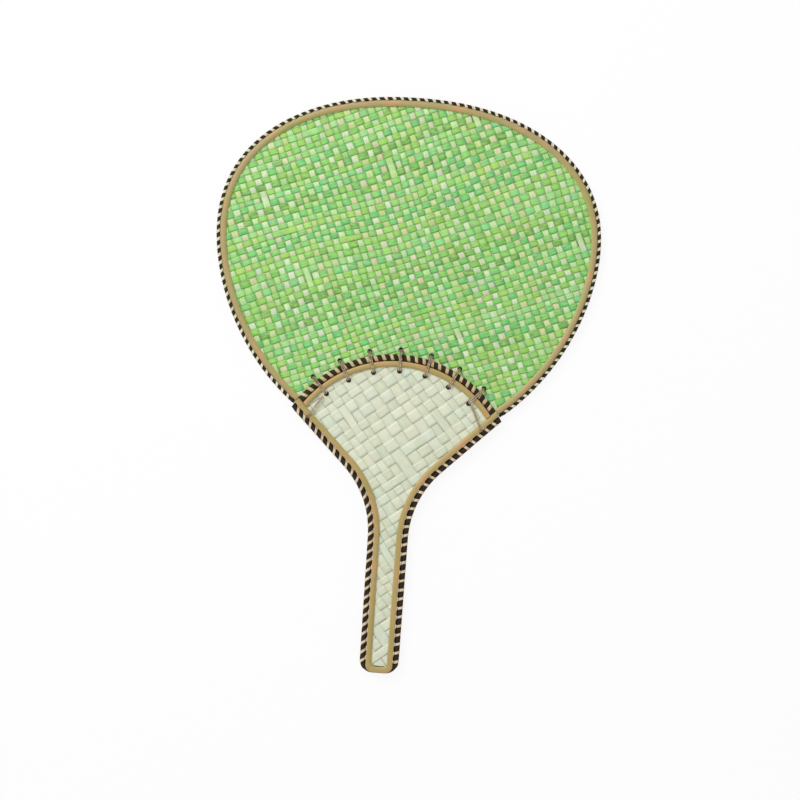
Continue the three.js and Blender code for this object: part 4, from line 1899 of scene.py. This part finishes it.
    def build_cords(self) -> None:
        """Make the dark cords and the threads that bind them."""
        bench, outline, finishes = self.bench, self.outline, self.finishes
        arc = outline.arc(outline.arc_radius)
        span = (self.arc_margin, arc.length - self.arc_margin)
        for face in Face:
            cord = replace(self.arc_cord, middle=face.value * self.arc_cord_middle)
            bm = cord.lay(bench, arc, self.arc_whipping.knots(span))
            trim_pair(bench, bm, *self.beside_strip(self.clearance))
            bench.piece(f"arc_binding_{face.word}", bm, finishes.cord, f"arc_cord_{face.word}")
        bm = self.arc_whipping.thread(bench, arc, span, self.arc_seed)
        bench.piece("arc_thread", bm, finishes.arc_thread, "arc_whipping")
        route, spans = self.side_route()
        whippings = self.whippings()
        top = outline.arc_radius + self.side_cord.width
        whole = outline.sides(0.0, 0.0, outline.end_radius, top)
        lead = (whole.length - route.length) / 2
        knots = []
        for name, span in spans.items():
            knots += whippings[name].knots(span, lead)
        bm = self.side_cord.lay(bench, whole, knots)
        trim_pair(bench, bm, *self.tip_cut(self.side_cord.width / 2))
        bench.piece("side_binding", bm, finishes.cord, "side_cord")
        for seed, (name, span) in zip(self.side_seeds, spans.items()):
            bm = whippings[name].thread(bench, route, span, seed)
            bench.piece(f"side_thread_{name}", bm, finishes.side_thread, f"side_whipping_{name}")

    def whippings(self) -> dict[str, Overcast]:
        """Give the whippings of both sides their slant and one stitch more at the top.

        Returns:
            The whipping of each side.
        """
        return {
            "left": replace(self.side_whipping, slant=self.left_slant, skip_first=-1),
            "right": replace(self.side_whipping, slant=self.right_slant, skip_last=-1),
        }

    def side_route(self) -> tuple[Route, dict[str, Span]]:
        """Draw the way of the side whippings.

        Returns:
            Their route, and the stretch of it that each one binds.
        """
        outline = self.outline
        top = outline.arc_radius - self.arc_strip_inset
        route = outline.sides(0.0, 0.0, outline.end_radius, top)
        straight = route.lengths[len(route.points) // 2 - outline.bend_steps - 1]
        end = self.clearance + self.side_whipping.width / 2
        run = straight + self.end_whipped
        return route, {"left": (end, run), "right": (route.length - run, route.length - end)}

    def corner_pass(self, name: str) -> Vector:
        """Find where a corner tie goes round the side strip, between two stitches.

        Args:
            name: The side.

        Returns:
            The place.
        """
        route, spans = self.side_route()
        starts = self.whippings()[name].starts(*spans[name])
        half = self.side_whipping.pitch / 2
        place = starts[-2] - half if name == "right" else starts[1] + half
        return route.stand(place).inside(self.side_whipping.lane - self.corner_tie_lap, 0.0).xy


def build_lacing(bench: Bench, coat: Coat, handle: Handle, lacing: Lacing) -> None:
    """Make the ties between blade and handle.

    Args:
        bench: Where meshes are made.
        coat: Their finish.
        handle: The handle that is laced on.
        lacing: Sizes of the ties.
    """
    outline = handle.outline
    size = (lacing.width, lacing.thickness)
    for number in range(lacing.count):
        angle = (number - (lacing.count - 1) / 2) * lacing.spacing
        reach = (lacing.outer - lacing.sunk, lacing.inner + lacing.sunk)
        ends = tuple(outline.spoke(radius, angle) for radius in reach)
        bm = lacing.tie(bench, ends, size, number)
        bench.piece(f"tie_{number + 1}", bm, coat, f"lacing_tie_{number + 1}")
    size = (lacing.corner_width, lacing.corner_thickness)
    reach = (lacing.count - 1) / 2 * lacing.spacing + lacing.corner_step
    for name, turn in (("left", -1), ("right", 1)):
        ends = (handle.corner_pass(name), outline.spoke(lacing.inner, turn * reach))
        bm = lacing.tie(bench, ends, size, lacing.corner_seed + turn)
        bench.piece(f"tie_{name}", bm, coat, f"corner_tie_{name}")


# Studio


@dataclass(frozen=True)
class Studio:
    """A white floor, soft light and a camera straight above the fan."""

    lean: float = 4.0
    aim: tuple[float, float, float] = (1.8, -113.75, 0.0)
    distance: float = 1.3205
    lens: float = 85.0
    floor_size: float = 6.0
    floor_colour: float = 0.9
    floor_white: float = 0.9
    world: float = 0.62
    lamp: float = 14.5
    lamp_size: float = 1.0
    lamp_place: tuple[float, float, float] = (-0.7, 0.8, 1.1)

    def build(self, bench: Bench) -> None:
        """Set the scene up round the fan.

        Args:
            bench: Where meshes are made.
        """
        bpy.context.scene.view_settings.view_transform = "Standard"
        self.add_camera(bench)
        self.add_floor()
        self.add_light()

    def add_camera(self, bench: Bench) -> None:
        """Hang the camera over the fan, turned as the photograph's is.

        Args:
            bench: Where meshes are made.
        """
        data = bpy.data.cameras.new("camera")
        data.lens = self.lens
        camera = bpy.data.objects.new("camera", data)
        camera.location = (*bench.place(Vector(self.aim)).xy, self.distance)
        camera.rotation_euler = (0.0, 0.0, math.radians(self.lean))
        bpy.context.scene.collection.objects.link(camera)
        bpy.context.scene.camera = camera

    def add_floor(self) -> None:
        """Lay a floor that the camera sees nearly white, the fan's shadow on it."""
        bm = bmesh.new()
        bmesh.ops.create_grid(bm, x_segments=1, y_segments=1, size=self.floor_size / 2)
        mesh = bpy.data.meshes.new("floor")
        bm.to_mesh(mesh)
        bm.free()
        floor = bpy.data.objects.new("floor", mesh)
        bpy.context.scene.collection.objects.link(floor)
        material = bpy.data.materials.new("white_floor")
        material.use_nodes = True
        nodes = Nodes(material.node_tree)
        nodes.tree.nodes.clear()
        grey = (self.floor_colour,) * 3 + (1.0,)
        plain = nodes.add("BsdfDiffuse", {"Color": grey}).outputs[0]
        white = nodes.add("Emission", {"Strength": 1.0}).outputs[0]
        share = nodes.math("MULTIPLY", self.seen(nodes), self.floor_white)
        mixed = nodes.add("MixShader", {0: share, 1: plain, 2: white}).outputs[0]
        nodes.add("OutputMaterial", {"Surface": mixed})
        mesh.materials.append(material)

    @staticmethod
    def seen(nodes: Nodes) -> bpy.types.NodeSocket:
        """Tell whether the camera sees the background, straight or in a reflection.

        Args:
            nodes: The tree that asks.

        Returns:
            1 where it does, else 0.
        """
        path = nodes.add("LightPath").outputs
        straight = nodes.math("MAXIMUM", path["Is Camera Ray"], path["Is Glossy Ray"])
        return nodes.math("MAXIMUM", straight, path["Is Transmission Ray"])

    def add_light(self) -> None:
        """Light the fan softly from all round and a little from the upper left."""
        world = bpy.data.worlds.new("soft_sky")
        world.use_nodes = True
        nodes = Nodes(world.node_tree)
        sky = world.node_tree.nodes["Background"]
        sky.inputs["Color"].default_value = (1.0, 1.0, 1.0, 1.0)
        strength = nodes.math("MULTIPLY_ADD", self.seen(nodes), 1 - self.world, self.world)
        nodes.tree.links.new(strength, sky.inputs["Strength"])
        bpy.context.scene.world = world
        lamp = bpy.data.lights.new("soft_box", "AREA")
        lamp.shape = "DISK"
        lamp.size = self.lamp_size
        lamp.energy = self.lamp
        light = bpy.data.objects.new("soft_box", lamp)
        light.location = self.lamp_place
        light.rotation_euler = (-light.location).to_track_quat("-Z", "Y").to_euler()
        bpy.context.scene.collection.objects.link(light)


def main() -> None:
    """Build the fan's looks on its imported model."""
    logging.basicConfig(level=logging.INFO, format="%(name)s: %(message)s")
    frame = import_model()
    blade_outline, handle_outline = BladeOutline(), HandleOutline()
    bench = Bench(handle_outline)
    Studio().build(bench)
    finishes = Finishes(bench.place(handle_outline.arc_centre.to_3d()))
    Blade(bench, finishes, blade_outline, handle_outline).build()
    handle = Handle(bench, finishes, handle_outline, frame["nodes"]["handle_core"])
    handle.build()
    build_lacing(bench, finishes.tie, handle, Lacing())


if __name__ == "__main__":
    main()
